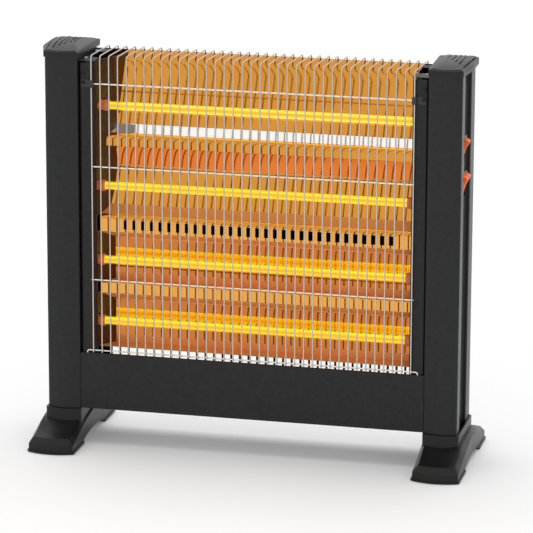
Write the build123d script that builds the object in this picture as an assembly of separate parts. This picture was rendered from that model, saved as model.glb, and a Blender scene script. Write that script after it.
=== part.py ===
from build123d import *
import math
import os

# Quartz tube heater. Every length is in millimetres and every angle in degrees.
# X runs to the right, Y to the back and Z up from the floor, with X 0 and Y 0 in the middle of the heater.

# Whole heater
body_width = 500.0  # over the outer faces of the two columns
column_top = 473.5

# Columns
column_width = 40.0
column_depth = 84.0  # between the corners, without the swelling of the front and rear faces
column_bulge = 5.0
column_wall = 2.0
column_base = 34.0
channel_depth = 5.0
channel_front_strip = 18.0
channel_width = 41.0
dent_radius = 14.0
dent_depth = 1.2
dent_drop = 5.5
boss_radius = 4.5
boss_height = 26.0
boss_setback = 1.0  # from the column's corner line to the boss's axis

# Feet
foot_width = 54.5
foot_overhang = 11.0  # past the column's outer face
foot_length = 182.0
toe_bulge = 6.0
toe_height = 12.5
foot_edge_bevel = 1.5
foot_side_fall = 0.2  # drop of the side face's edge for each millimetre away from the middle
foot_top_climb = 0.36  # rise of the top for each millimetre from the ridge to the shoulder
foot_crest_climb = 0.12  # the same from the shoulder to the level stretch beside the column
foot_crest = 8.0  # half length of that stretch
foot_ridge_reach = 81.0
foot_ridge_height = 17.8
foot_bevel = 8.0
foot_lip = 1.75
foot_lip_height = 2.6
foot_arch_half = 47.0
foot_arch_step = 7.0
foot_arch_rise = 3.0
collar_top = 44.0
collar_start = 14.0
collar_wall = 2.8
socket_clearance = 0.2
pad_proud = 0.6
pad_thickness = 2.1
pad_size = 30.0, 18.0
pad_reach = 72.0
pad_corner = 3.0
pad_clearance = 0.2

# Column caps
cap_skirt = 7.5
cap_lip = 1.0
cap_bevel = 1.0
cap_side_swell = 4.5
cap_rear_reach = 4.0
cap_rear_bulge = 2.0
cap_corner = 8.0  # length of the rounded rear corner along each side
cap_corner_cut = 2.4  # how far the rounding stands inside the square corner
cap_flare = 3.0
cap_pad_rise = 2.5
cap_pad_inset = 2.6
cap_pad_bevel = 1.2
cap_pad_seat = 0.5
cap_seam_middle = 8.0, -6.0  # from the bay, and along Y
cap_seam_end = 18.0
cap_groove_count = 4
cap_groove_pitch = 6.2
cap_groove_width = 1.8
cap_groove_depth = 1.3
cap_groove_inset = 5.5
cap_groove_start = -34.0
cap_groove_step = 11.0
cap_groove_end = 34.0
cap_groove_bow = 1.2
cap_groove_lean = 1.0
cap_spigot_depth = 9.0
cap_spigot_wall = 1.6
cap_spigot_clearance = 0.3

# Sheet metal
painted_sheet = 0.8
polished_sheet = 0.6
sheet_gap = 0.2  # between a sheet's end and the piece that it stands beside
overrun = 1.0  # how far the tool that cuts a hole runs past both faces

# Front panel and bottom tray
panel_bottom = 44.3
panel_top = 113.7
panel_lip = 3.1
panel_return = 18.0
panel_screw_margin = 30.0
panel_screw_shares = -1, -0.35, 0.35, 1
tray_upstand = 11.0
tray_upstand_margin = 22.0
tray_slot_count = 15
tray_slot_pitch = 20.0
tray_slot_size = 5.0, 36.0
tray_screw_margin = 35.0

# Side frames: the painted strips beside the reflector and the webs behind them
frame_face_drop = 4.2  # behind the column's front corners
frame_strip = 19.5
frame_top_drop = 4.1  # below the column's top
frame_rear_drop = 4.0  # rear face, ahead of the column's rear corners
frame_rear_flange = 14.0
frame_return = 6.0
frame_corner = 2.5, 3.0  # the bevelled corner towards the column, along X and Y
bracket_tab_inset = 4.0
bracket_tab_drop = 6.0  # below the axis of the screw through it
bracket_window = 13.0
bracket_window_front = 20.0, 26.0  # behind the strip, at the window's two sides
bracket_window_rear = 16.0, 22.0
bracket_screw_inset = 4.5
bracket_screw_length = 6.0
bracket_screw_spread = 44.0

# Tubes, from the top one to the lowest
tube_radius = 5.0
tube_wall = 1.0
tube_heights = 413.3, 316.5, 226.4, 150.8
tube_setbacks = 25.5, 21.5, 18.5, 18.5  # behind the column's front corners
tube_end_setback = 14.7  # between a tube's end and the bay's side
ceramic_radius = 6.5
ceramic_inset = 26.5
ceramic_socket_clearance = 0.1
ceramic_floor_gap = 0.2
ceramic_hole_clearance = 0.1
coil_radius = 3.6
coil_wire = 0.5
coil_lead_radius = 0.6
coil_end_setback = 8.0
coil_lead_play = 1.0
terminal_radius = 2.5
terminal_length = 5.0
terminal_clearance = 0.05
plate_hole_clearance = 1.2
column_hole_clearance = 1.0

# Reflector
reflector_top_drop = 2.1
ridge_face_setback = 16.5
upper_ridge_setback = 28.0
lower_wall_setback = 38.5
upper_wall_setback = 45.0
reflector_rim = 15.0
rim_fall = 7.0, 9.8
rim_setback = 21.0  # ahead of the column's rear corners
# Heights of the folds and curves between the troughs, above or below the axis of the tube beside them
first_floor = 25.6, 33.8, 37.1
second_roof = 47.3, 39.6, 33.5, 19.8
second_floor = 24.6, 31.0, 35.7
third_roof = 35.1, 23.8
third_floor = 27.9, 28.0
fourth_roof = 35.0, 22.8
fourth_floor_drop = 0.5
# Shares of the troughs' depths at which those curves bend
first_floor_pull = 0.4
second_roof_pull = 0.3, 0.1
second_floor_pull = 0.4, 0.56
curve_steps = 4
reflector_lip_gap = 6.3
slot_count = 31
slot_span = 322.0
slot_width = 4.3
slot_height = 11.3
slot_rise = 38.6  # above the third tube's axis

# Side plates, in plan
plate_front_inset = 9.5
plate_bend_inset = 34.0
plate_bend_setback = 38.0
plate_rear_inset = 42.0
plate_rear_setback = 14.0
plate_edge_gap = 0.3
plate_tab_gap = 0.3  # between a plate's tabs and the frame's bevelled corner

# Back cover
cover_top_drop = 2.6
vent_bar = 2.6
vent_bottom = 88.0
vent_height = 16.0
louvre_rows = 140.0, 385.0
louvre_count = 25
louvre_pitch = 13.0
louvre_size = 5.0, 42.0
gland_place = 165.0, 66.0
gland_neck_radius = 5.1
gland_bore_radius = 3.6
gland_flange_radius = 8.0
gland_flange = 2.0
gland_neck = 9.0
gland_nut = 4.0
gland_hole_clearance = 0.1

# Guard
wire_radius = 1.0
upright_count = 37
upright_inset = 16.4
guard_gap = 0.25  # between the crosswires and the painted strips behind them
guard_top_rise = 3.5
guard_top_fall = 2.5
guard_bend = 4.0
guard_hook_bend = 2.2
guard_hook_drop = 12.0
guard_foot_gap = 1.3
weld_sink = 0.05
crosswire_heights = 443.0, 343.0, 204.5
crosswire_overhangs = 0.5, 0.9, 1.9
low_wire_rise = 3.3
low_wire_overhang = 5.4
low_wire_hook = 2.5
low_wire_drop = 7.0
wire_hole_clearance = 0.15
clip_thickness = 1.0
clip_height = 9.0
clip_inset = 3.0
clip_reach = 2.1, 1.4  # past the wire's inner side, at the lip and at the flat
clip_lip = 1.2
clip_step = 0.9, 2.2  # past the wire's outer side, at the flat and at the seat
clip_clearance = 0.1
clip_corner = 2.0

# Screws
screw_radius = 1.5
screw_head_radius = 2.6
screw_head_height = 1.4
screw_length = 7.0
screw_slot = 0.7
screw_hole_clearance = 0.1
screw_head_clearance = 0.8
frame_screw_drop = 18.1
frame_screw_inset = 5.0
clip_screw_inset = 6.0
clip_screw_rise = 1.0
side_screw_shares = 0.09, 0.5, 0.92
foot_screw_length = 40.0
foot_screw_seat = 12.0

# Switches
switch_heights = 380.0, 337.0
key_width = 11.0
key_radius = 14.0
key_face = 3.5  # from the pivot's axis to the middle of the pressing face
key_back = 6.0
key_hollow_angle = 6.5
key_throw = 24.0
key_rest_lean = 5.0
key_gap = 0.35
key_divider = 1.0
bezel_rim = 2.2
bezel_top_proud = 3.0
bezel_foot_proud = 0.4
bezel_bevel = 1.5
housing_depth = 15.0
housing_wall = 1.2
housing_clearance = 0.3
pivot_radius = 1.5
pivot_clearance = 0.05
pin_play = 0.2  # between the ends of the pins of two keys
pivot_sink = 1.5  # pivot's axis, inside the channel's floor face
blade_size = 6.3, 0.8, 8.0
blade_pitch = 7.0

# Tip-over switch, thermal cut-out, terminal block and looms
tip_case = 26.0, 24.0, 40.0
tip_case_wall = 1.5
tip_case_bottom = 80.0
tip_case_rear_gap = 6.0
tip_screw_setback = 12.0
tip_screw_shares = 0.2, 0.8
tip_pin_radius = 1.5
tip_pin_clearance = 0.05
tip_pin_drop = 7.0
tip_hub_radius = 3.5
tip_hub_gap = 1.0
tip_rod_radius = 1.2
tip_weight_radius = 5.0
tip_weight_height = 9.0
tip_weight_drop = 26.0
cutout_radius = 8.0
cutout_thickness = 6.0
cutout_place = 60.0
cutout_blade = 4.0, 5.0, 1.0  # from the axis, length and radius
block_size = 44.0, 18.0, 14.0
block_place = 110.0
block_ways = 4
block_screw = 2.2, 5.0  # radius and depth
block_wire_hole = 1.8, 5.0  # radius and height
loom_radius = 2.5
loom_bend = 13.0
loom_branch_radius = 1.2
loom_setback = 12.0
loom_inward = 2.0  # from the column's middle line to the trunk, outwards
loom_start_gap = 10.0
loom_top_drop = 4.0
loom_branch_drop = 8.0
loom_branch_reach = 4.0
loom_branch_bend = 2.5
loom_height = 58.0

# Places that follow from the sizes above
side = body_width / 2
bay = side - column_width
middle = side - column_width / 2
front = -column_depth / 2
rear = column_depth / 2
channel_floor = side - channel_depth
channel_front = front + channel_front_strip
channel_rear = channel_front + channel_width
channel_centre = (channel_front + channel_rear) / 2
foot_inner = side + foot_overhang - foot_width
foot_outer = side + foot_overhang
frame_face = front + frame_face_drop
frame_top = column_top - frame_top_drop
frame_rear = rear - frame_rear_drop
tray_bottom = panel_bottom + painted_sheet
tray_top = tray_bottom + painted_sheet
plate_slope_run = plate_bend_inset - plate_front_inset
tab_end = bay - frame_corner[0] - painted_sheet - plate_tab_gap
last_upright = bay - upright_inset
upright_pitch = 2 * last_upright / (upright_count - 1)
upright_y = frame_face - guard_gap - 3 * wire_radius + weld_sink
crosswire_y = upright_y + 2 * wire_radius - weld_sink
cover_front = frame_rear
cover_back = cover_front + painted_sheet


def block(x, y, z):
    """A box between two limits along each axis."""
    size = Box(x[1] - x[0], y[1] - y[0], z[1] - z[0])
    return Pos((x[0] + x[1]) / 2, (y[0] + y[1]) / 2, (z[0] + z[1]) / 2) * size


def rod(start, end, radius):
    """A round bar from one point to another."""
    axis = Vector(*end) - Vector(*start)
    return extrude(Plane(origin=start, z_dir=axis) * Circle(radius), amount=axis.length)


def wire_along(points, bends, radius):
    """A round wire through the points, with a bend of its own radius at each inner point."""
    path = FilletPolyline(*points, radius=bends)
    start = path ^ 0
    return sweep(Plane(origin=start.position, z_dir=start.z_axis.direction) * Circle(radius), path=path)


def hole_along_x(x, y, z, radius):
    """The cutting shape of a round hole between two X limits."""
    return rod((x[0] - overrun, y, z), (x[1] + overrun, y, z), radius)


def hole_along_y(x, y, z, radius):
    """The cutting shape of a round hole between two Y limits."""
    return rod((x, y[0] - overrun, z), (x, y[1] + overrun, z), radius)


def left_of(shape):
    """The mirror image on the heater's left side."""
    return mirror(shape, about=Plane.YZ)


def offset_points(points, thickness):
    """The open line of points set over by the thickness to its left, with mitred corners."""
    normals = []
    for (a, b), (c, d) in zip(points, points[1:]):
        length = math.hypot(c - a, d - b)
        normals.append((-(d - b) / length, (c - a) / length))
    moved = []
    for index, (a, b) in enumerate(points):
        before = normals[max(index - 1, 0)]
        after = normals[min(index, len(normals) - 1)]
        scale = thickness / (1 + before[0] * after[0] + before[1] * after[1])
        moved.append((a + scale * (before[0] + after[0]), b + scale * (before[1] + after[1])))
    return moved


def sheet_across(points, thickness, x):
    """A folded sheet whose section is a line of (Y, Z) points, between two X limits."""
    outline = points + offset_points(points, thickness)[::-1]
    face = make_face(Polyline(*[(x[0], y, z) for y, z in outline], close=True))
    return extrude(face, amount=x[1] - x[0], dir=(1, 0, 0))


def sheet_upright(points, thickness, z):
    """A folded sheet whose plan is a line of (X, Y) points, between two heights."""
    outline = points + offset_points(points, thickness)[::-1]
    face = make_face(Polyline(*[(x, y, z[0]) for x, y in outline], close=True))
    return extrude(face, amount=z[1] - z[0], dir=(0, 0, 1))


def curve_points(start, pull, end):
    """Points on a gentle curve from start to end, drawn towards a third point."""
    points = []
    for step in range(curve_steps + 1):
        t = step / curve_steps
        weights = (1 - t) ** 2, 2 * t * (1 - t), t ** 2
        points.append(tuple(sum(w * p[axis] for w, p in zip(weights, (start, pull, end))) for axis in (0, 1)))
    return points


def screw(head, direction, length=screw_length, head_radius=screw_head_radius):
    """A screw whose head stands on the point given, with its shank along the direction."""
    way = Vector(*direction)
    seat = Vector(*head)
    top = seat - way * screw_head_height
    body = rod(seat, seat + way * length, screw_radius) + rod(top, seat, head_radius)
    slot = Plane(origin=top, z_dir=way) * Box(2 * head_radius, screw_slot, screw_head_height)
    return body - slot


def screw_hole(head, direction, length=screw_length):
    """The clearance hole that goes with a screw."""
    way = Vector(*direction)
    start = Vector(*head) - way * overrun
    return rod(start, Vector(*head) + way * (length + overrun), screw_radius + screw_hole_clearance)


def save(name, shape):
    """Write one piece to its own file, as a single solid or a group of them."""
    solids = [solid.clean() for solid in shape.solids()]
    piece = solids[0] if len(solids) == 1 else Compound(children=solids)
    piece.label = name
    export_step(piece, f"parts/{name}.step")


def plain_outline():
    """The column's outline in plan, without the channel."""
    front_face = ThreePointArc((bay, front), (middle, front - column_bulge), (side, front))
    rear_face = ThreePointArc((side, rear), (middle, rear + column_bulge), (bay, rear))
    outer_face = Line((side, front), (side, rear))
    inner_face = Line((bay, rear), (bay, front))
    return make_face([front_face, outer_face, rear_face, inner_face])


def column_outline():
    """The column's outline with the channel in its outer side."""
    centre = Pos((channel_floor + side) / 2, channel_centre)
    return plain_outline() - centre * Rectangle(channel_depth, channel_width)


def at_height(sketch, z, height):
    """A plan sketch raised from one height by an amount."""
    return extrude(Pos(0, 0, z) * sketch, amount=height)


def key_lines(switch):
    """The middle lines, along Y, of a switch's keys."""
    if switch == 0:
        return [channel_centre]
    half_pitch = (key_width + key_divider + 2 * key_gap) / 2
    return [channel_centre - half_pitch, channel_centre + half_pitch]


def housing_half_width(switch):
    """Half of the width that the keys of a switch need inside its housing."""
    return key_lines(switch)[-1] - channel_centre + key_width / 2 + key_gap


def channel_dent(height, flat_below):
    """A half-round dent in the channel's floor, with its flat side below or above."""
    disc = rod((channel_floor - dent_depth, channel_centre, height),
               (channel_floor + overrun, channel_centre, height), dent_radius)
    lower = height if flat_below else height - dent_radius
    half = block((bay, side), (channel_front, channel_rear), (lower, lower + dent_radius))
    return disc & half


def column(with_switches):
    """An extruded column with two screw bosses inside its foot and holes for what passes its inner wall."""
    outer = column_outline()
    inner = offset(outer, -column_wall, kind=Kind.INTERSECTION)
    shape = at_height(outer, column_base, column_top - column_base)
    shape -= at_height(inner, column_base, column_top - column_base)
    shape -= channel_dent(column_top - dent_drop, False)
    shape -= channel_dent(collar_top, True)
    column_body = at_height(plain_outline(), column_base, boss_height)
    for x, y in boss_places():
        shape += rod((x, y, column_base), (x, y, column_base + boss_height), boss_radius) & column_body
    for x, y in boss_places():
        hole_radius = screw_radius + screw_hole_clearance
        shape -= rod((x, y, column_base), (x, y, column_base + boss_height), hole_radius)
    inner_wall = bay, bay + column_wall
    for height, setback in zip(tube_heights, tube_setbacks):
        shape -= hole_along_x(inner_wall, front + setback, height, ceramic_radius + column_hole_clearance)
    shape -= hole_along_x(inner_wall, loom_y(), loom_height, loom_radius + column_hole_clearance)
    if with_switches:
        for switch, height in enumerate(switch_heights):
            half_width = housing_half_width(switch) + housing_wall + housing_clearance
            half_height = key_radius + key_gap + housing_wall + housing_clearance
            shape -= block((channel_floor - column_wall - overrun, channel_floor + overrun),
                           (channel_centre - half_width, channel_centre + half_width),
                           (height - half_height, height + half_height))
        for place in tip_screw_places():
            shape -= hole_along_x(inner_wall, *place, screw_radius + screw_hole_clearance)
    return shape


def boss_places():
    """Where the foot's screws stand, as (X, Y)."""
    return [(middle, way * (rear - boss_setback)) for way in (-1, 1)]


def loom_y():
    """The depth at which the looms run along the tray and up the columns."""
    return rear - loom_setback


def cap_outline():
    """The cap's outline in plan: it swells outwards, rounds its rear corner and flares at the back."""
    outer = side + cap_lip
    swell = side + cap_side_swell
    rear_line = rear + cap_rear_reach
    front_line = front - cap_lip
    side_line = swell - cap_lip
    side_end = side_line, rear_line - cap_corner
    rear_start = side_line - cap_corner, rear_line
    corner_point = side_line - cap_corner_cut, rear_line - cap_corner_cut
    front_edge = ThreePointArc((bay, front_line), (middle, front_line - column_bulge), (outer, front_line))
    outer_edge = ThreePointArc((outer, front_line), (swell, rear / 4), side_end)
    corner = ThreePointArc(side_end, corner_point, rear_start)
    rear_end = bay - cap_flare, rear + cap_lip
    rear_edge = ThreePointArc(rear_start, (middle, rear_line + cap_rear_bulge), rear_end)
    inner_edge = Line(rear_end, (bay, front_line))
    return make_face([front_edge, outer_edge, corner, rear_edge, inner_edge])


def cap_pad(top):
    """The raised pad on the outer part of the cap, with its curved grooves."""
    seam_front = bay + cap_pad_inset, front - column_bulge
    seam_rear = bay + cap_seam_end, rear + 2 * column_bulge
    beyond = side + foot_overhang
    seam = ThreePointArc(seam_front, (bay + cap_seam_middle[0], cap_seam_middle[1]), seam_rear)
    outside = Polyline(seam_rear, (beyond, seam_rear[1]), (beyond, seam_front[1]), seam_front)
    pad_face = offset(cap_outline(), -cap_pad_inset) & make_face([seam, outside])
    pad = at_height(pad_face, top - cap_pad_seat, cap_pad_rise + cap_pad_seat)
    pad = chamfer(pad.edges().group_by(Axis.Z)[-1], cap_pad_bevel)
    for index in range(cap_groove_count):
        x = side - cap_groove_inset - index * cap_groove_pitch
        start = cap_groove_start + index * cap_groove_step
        bow = x + cap_groove_bow, (start + cap_groove_end) / 2, 0
        line = ThreePointArc((x, start, 0), bow, (x - cap_groove_lean, cap_groove_end, 0))
        groove = make_face(offset(line, cap_groove_width / 2, side=Side.BOTH))
        pad -= at_height(groove, top + cap_pad_rise - cap_groove_depth, cap_groove_depth + overrun)
    return pad


def cap():
    """The moulded cap of a column: skirt, pad and a spigot down inside the column."""
    skirt = at_height(cap_outline(), column_top, cap_skirt)
    skirt = chamfer(skirt.edges().group_by(Axis.Z)[-1], cap_bevel)
    inner = offset(column_outline(), -column_wall - cap_spigot_clearance, kind=Kind.INTERSECTION)
    core = offset(inner, -cap_spigot_wall, kind=Kind.INTERSECTION)
    spigot = at_height(inner - core, column_top - cap_spigot_depth, cap_spigot_depth)
    return skirt + cap_pad(column_top + cap_skirt) + spigot


def foot_section(y, side_height, top_height, bevel):
    """The foot's section across its length: upright sides, a bevel on each and a level top."""
    points = [(foot_inner, pad_proud), (foot_outer, pad_proud), (foot_outer, side_height),
              (foot_outer - bevel, top_height), (foot_inner + bevel, top_height), (foot_inner, side_height)]
    return make_face(Polyline(*[(x, y, z) for x, z in points], close=True))


def foot_side_height(reach):
    """Height of the side face's upper edge at a distance from the foot's middle."""
    toe = foot_length / 2 + toe_bulge
    return toe_height + (toe - reach) * foot_side_fall


def foot_plan():
    """The foot's outline in plan, with its bowed toe and heel."""
    half = foot_length / 2
    toe = half + toe_bulge
    centre = (foot_inner + foot_outer) / 2
    return make_face([ThreePointArc((foot_inner, -half), (centre, -toe), (foot_outer, -half)),
                      Line((foot_outer, -half), (foot_outer, half)),
                      ThreePointArc((foot_outer, half), (centre, toe), (foot_inner, half)),
                      Line((foot_inner, half), (foot_inner, -half))])


def foot_arch():
    """The cutting shape of the space under the foot, between toe and heel."""
    arch_top = pad_proud + foot_arch_step
    start = foot_inner - foot_lip - overrun
    corners = [(start, way * foot_arch_half) for way in (-1, 1)]
    crown = start, 0, arch_top + foot_arch_rise
    arch = make_face([Line((*corners[0], 0), (*corners[1], 0)),
                      Line((*corners[1], 0), (*corners[1], arch_top)),
                      ThreePointArc((*corners[1], arch_top), crown, (*corners[0], arch_top)),
                      Line((*corners[0], arch_top), (*corners[0], 0))])
    return extrude(arch, amount=foot_width + 2 * (foot_lip + overrun), dir=(1, 0, 0))


def foot():
    """A moulded foot with a ridge near each end, a lip round its edge and a collar round the column."""
    toe = foot_length / 2 + toe_bulge
    shoulder = foot_arch_half
    shoulder_top = foot_ridge_height + foot_top_climb * (foot_ridge_reach - shoulder)
    crest_top = shoulder_top + foot_crest_climb * (shoulder - foot_crest)
    side_drop = foot_edge_bevel / 2
    ridge_side = foot_side_height(foot_ridge_reach) - side_drop
    stations = [(toe, toe_height - side_drop, toe_height + side_drop, foot_edge_bevel),
                (foot_ridge_reach, ridge_side, foot_ridge_height, foot_bevel),
                (shoulder, foot_side_height(shoulder), shoulder_top, foot_bevel),
                (foot_crest, foot_side_height(foot_crest), crest_top, foot_bevel)]
    sections = [foot_section(-y, *rest) for y, *rest in stations]
    sections += [foot_section(y, *rest) for y, *rest in stations[::-1]]
    plan = foot_plan()
    body = loft(sections, ruled=True) & at_height(plan, 0, column_top)
    body += at_height(offset(plan, foot_lip), pad_proud, foot_lip_height)
    body += at_height(offset(plain_outline(), collar_wall), collar_start, collar_top - collar_start)
    body -= foot_arch()
    socket = offset(column_outline(), socket_clearance, kind=Kind.INTERSECTION)
    body -= at_height(socket, column_base, collar_top)
    for x, y in boss_places():
        body -= rod((x, y, foot_screw_seat), (x, y, column_top), screw_radius + screw_hole_clearance)
        body -= rod((x, y, 0), (x, y, foot_screw_seat), screw_head_radius + screw_head_clearance)
    for way in (-1, 1):
        body -= foot_pad(way, 0)
    return body


def foot_pad(way, inset=pad_clearance):
    """A rubber pad under the toe or the heel, or its pocket where the inset is none."""
    x, y = pad_size
    centre = Pos((foot_inner + foot_outer) / 2, way * pad_reach)
    return at_height(centre * RectangleRounded(x - 2 * inset, y - 2 * inset, pad_corner), 0, pad_thickness)


def front_panel():
    """The lower front panel, folded back under at its bottom and over to the guard at its top."""
    rise = panel_top - panel_lip
    points = [(front + panel_return, panel_bottom), (front, panel_bottom), (front, rise),
              (front + panel_lip / 2, panel_top), (frame_face, panel_top)]
    shape = sheet_across(points, -painted_sheet, (-bay + sheet_gap, bay - sheet_gap))
    for way in (-1, 1):
        axis = way * (last_upright + low_wire_overhang + low_wire_hook), crosswire_y
        hole = wire_radius + wire_hole_clearance
        shape -= rod((*axis, rise), (*axis, panel_top + overrun), hole)
    for place in panel_screw_places():
        shape -= screw_hole(place, (0, 0, 1))
    return shape


def panel_screw_places():
    """Seats of the screws that hold the panel's lower fold to the tray."""
    reach = bay - panel_screw_margin
    return [(share * reach, front + panel_return / 2, panel_bottom) for share in panel_screw_shares]


def bottom_tray():
    """The tray between the feet, slotted for air, with an upstand at its front and rear."""
    width = -bay + sheet_gap, bay - sheet_gap
    shape = block(width, (front + painted_sheet, cover_front), (tray_bottom, tray_top))
    reach = bay - tray_upstand_margin
    upstand = tray_top, tray_top + tray_upstand
    shape += block((-reach, reach), (front + painted_sheet, front + 2 * painted_sheet), upstand)
    shape += block((-reach, reach), (cover_front - painted_sheet, cover_front), upstand)
    half_slot = tray_slot_size[0] / 2
    slot_y = -tray_slot_size[1] / 2, tray_slot_size[1] / 2
    for index in range(tray_slot_count):
        x = (index - (tray_slot_count - 1) / 2) * tray_slot_pitch
        shape -= block((x - half_slot, x + half_slot), slot_y, (tray_bottom - overrun, tray_top + overrun))
    for place in panel_screw_places():
        shape -= screw_hole(place, (0, 0, 1))
    for place in tray_screw_places():
        shape -= screw_hole(place, (0, -1, 0))
    return shape


def tray_screw_places():
    """Seats of the screws that hold the back cover to the tray's rear upstand."""
    reach = bay - tray_screw_margin
    return [(share * reach, cover_back, tray_top + tray_upstand / 2) for share in (-1, 0, 1)]


def side_frame():
    """A painted frame: the strip beside the reflector, a web on the column and a flange at the back."""
    web = bay - painted_sheet, bay
    strip = bay - frame_strip
    points = [(strip, frame_face + frame_return), (strip, frame_face), (bay - frame_corner[0], frame_face),
              (bay, frame_face + frame_corner[1]), (bay, frame_rear), (bay - frame_rear_flange, frame_rear)]
    shape = sheet_upright(points, painted_sheet, (tray_top, frame_top))
    for height, setback in zip(tube_heights, tube_setbacks):
        shape -= hole_along_x(web, front + setback, height, ceramic_radius + ceramic_hole_clearance)
    shape -= hole_along_x(web, loom_y(), loom_height, loom_radius + column_hole_clearance)
    for place in frame_screw_places():
        shape -= screw_hole(place, (0, 1, 0))
    for place in side_cover_screw_places():
        shape -= screw_hole(place, (0, -1, 0))
    for place in tip_screw_places():
        shape -= hole_along_x(web, *place, screw_radius + screw_hole_clearance)
    return shape


def frame_screw_places():
    """Seats of the screws in the strip: one at the top, one through the guard clip."""
    return [(bay - frame_screw_inset, frame_face, column_top - frame_screw_drop),
            (bay - clip_screw_inset, frame_face - clip_thickness, crosswire_heights[0] + clip_screw_rise)]


def side_cover_screw_places():
    """Seats of the screws that hold the back cover to a side frame's flange."""
    x = bay - frame_rear_flange / 2
    span = frame_top - tray_top
    return [(x, cover_back, tray_top + share * span) for share in side_screw_shares]


def top_bracket():
    """The plate on top of a side frame, with a tab down behind the strip."""
    top = frame_top + painted_sheet
    inner = bay - frame_strip
    window = inner + bracket_window
    outer = bay - sheet_gap
    outline = [(inner, frame_face), (outer, frame_face), (outer, frame_rear), (inner, frame_rear),
               (inner, frame_rear - bracket_window_rear[0]), (window, frame_rear - bracket_window_rear[1]),
               (window, frame_face + bracket_window_front[1]), (inner, frame_face + bracket_window_front[0])]
    shape = at_height(make_face(Polyline(*outline, close=True)), frame_top, painted_sheet)
    back = frame_face + painted_sheet
    tab_z = column_top - frame_screw_drop - bracket_tab_drop, frame_top
    shape += block((inner + bracket_tab_inset, tab_end), (back, back + painted_sheet), tab_z)
    shape -= screw_hole(frame_screw_places()[0], (0, 1, 0))
    for x, y in bracket_screw_places():
        shape -= screw_hole((x, y, top), (0, 0, -1), bracket_screw_length)
    return shape


def bracket_screw_places():
    """Where the screws stand in the bracket's plate, as (X, Y)."""
    return [(bay - bracket_screw_inset, way * bracket_screw_spread / 2) for way in (-1, 1)]


def side_plate():
    """The polished plate that closes the troughs, splayed outwards to the front."""
    front_x = bay - plate_front_inset
    rear_x = bay - plate_rear_inset
    strip_back = frame_face + painted_sheet
    flange_front = frame_rear - painted_sheet
    points = [(tab_end, strip_back), (front_x, strip_back),
              (bay - plate_bend_inset, front + plate_bend_setback),
              (rear_x, rear - plate_rear_setback), (rear_x, flange_front), (tab_end, flange_front)]
    shape = sheet_upright(points, -polished_sheet, (panel_top + reflector_lip_gap, frame_top))
    for height, setback in zip(tube_heights, tube_setbacks):
        shape -= hole_along_x((rear_x, bay), front + setback, height, ceramic_radius + plate_hole_clearance)
    for place in frame_screw_places():
        shape -= screw_hole(place, (0, 1, 0))
    for place in side_cover_screw_places():
        shape -= screw_hole(place, (0, -1, 0))
    slot_x = bay - frame_strip + bracket_tab_inset - overrun, bay
    slot_y = strip_back - overrun, strip_back + painted_sheet + sheet_gap
    slot_z = column_top - frame_screw_drop - bracket_tab_drop - overrun, frame_top + overrun
    return shape - block(slot_x, slot_y, slot_z)


def plate_reach(y):
    """How far from the middle the inner face of a side plate stands at a depth Y."""
    bend_y = front + plate_bend_setback
    if y < bend_y:
        slope = plate_slope_run / (bend_y - frame_face - painted_sheet)
        return bay - plate_bend_inset + slope * (bend_y - y)
    rear_y = rear - plate_rear_setback
    share = min((y - bend_y) / (rear_y - bend_y), 1)
    return bay - plate_bend_inset - share * (plate_rear_inset - plate_bend_inset)


def reflector_profile():
    """The visible side of the reflector's section, from the top rear edge down to the lowest lip."""
    first, second, third, fourth = tube_heights
    rim = column_top - reflector_top_drop
    ridge = front + ridge_face_setback
    upper_ridge = front + upper_ridge_setback
    wall = front + lower_wall_setback
    upper_wall = front + upper_wall_setback
    depth = upper_wall - upper_ridge
    lip = panel_top + reflector_lip_gap
    points = [(cover_front, rim), (cover_front - reflector_rim, rim - rim_fall[0]),
              (rear - rim_setback, rim - rim_fall[1])]
    floor = [first - drop for drop in first_floor]
    pull = upper_ridge + first_floor_pull * depth, floor[1]
    points += curve_points((upper_wall, floor[0]), pull, (upper_ridge, floor[2]))
    roof = [second + rise for rise in second_roof]
    points += [(upper_ridge, roof[0])]
    pull = upper_wall - second_roof_pull[1] * depth, roof[2]
    points += curve_points((upper_ridge + second_roof_pull[0] * depth, roof[1]), pull, (upper_wall, roof[3]))
    floor = [second - drop for drop in second_floor]
    step = upper_wall - ridge
    pull = upper_wall - second_floor_pull[1] * step, floor[1]
    points += curve_points((upper_wall - second_floor_pull[0] * step, floor[0]), pull, (ridge, floor[2]))
    points += [(ridge, third + third_roof[0]), (wall, third + third_roof[1])]
    points += [(wall, third - third_floor[0]), (ridge, third - third_floor[1])]
    points += [(ridge, fourth + fourth_roof[0]), (wall, fourth + fourth_roof[1])]
    points += [(wall, lip + fourth_floor_drop), (ridge, lip)]
    return points


def reflector():
    """The polished sheet behind the tubes, folded into a trough for each, with slots in one ridge."""
    depths = [frame_face, front + plate_bend_setback, rear - plate_rear_setback, cover_front]
    right_edge = [(plate_reach(y) - plate_edge_gap, y) for y in depths]
    left_edge = [(-x, y) for x, y in right_edge[::-1]]
    plan = make_face(Polyline(*(right_edge + left_edge), close=True))
    sheet = sheet_across(reflector_profile(), polished_sheet, (-bay, bay))
    sheet &= at_height(plan, 0, column_top)
    slot_z = tube_heights[2] + slot_rise
    ridge = front + ridge_face_setback
    through = ridge - overrun, ridge + polished_sheet + overrun
    for index in range(slot_count):
        x = (index / (slot_count - 1) - 0.5) * slot_span
        sheet -= block((x - slot_width / 2, x + slot_width / 2), through, (slot_z, slot_z + slot_height))
    return sheet


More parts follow.
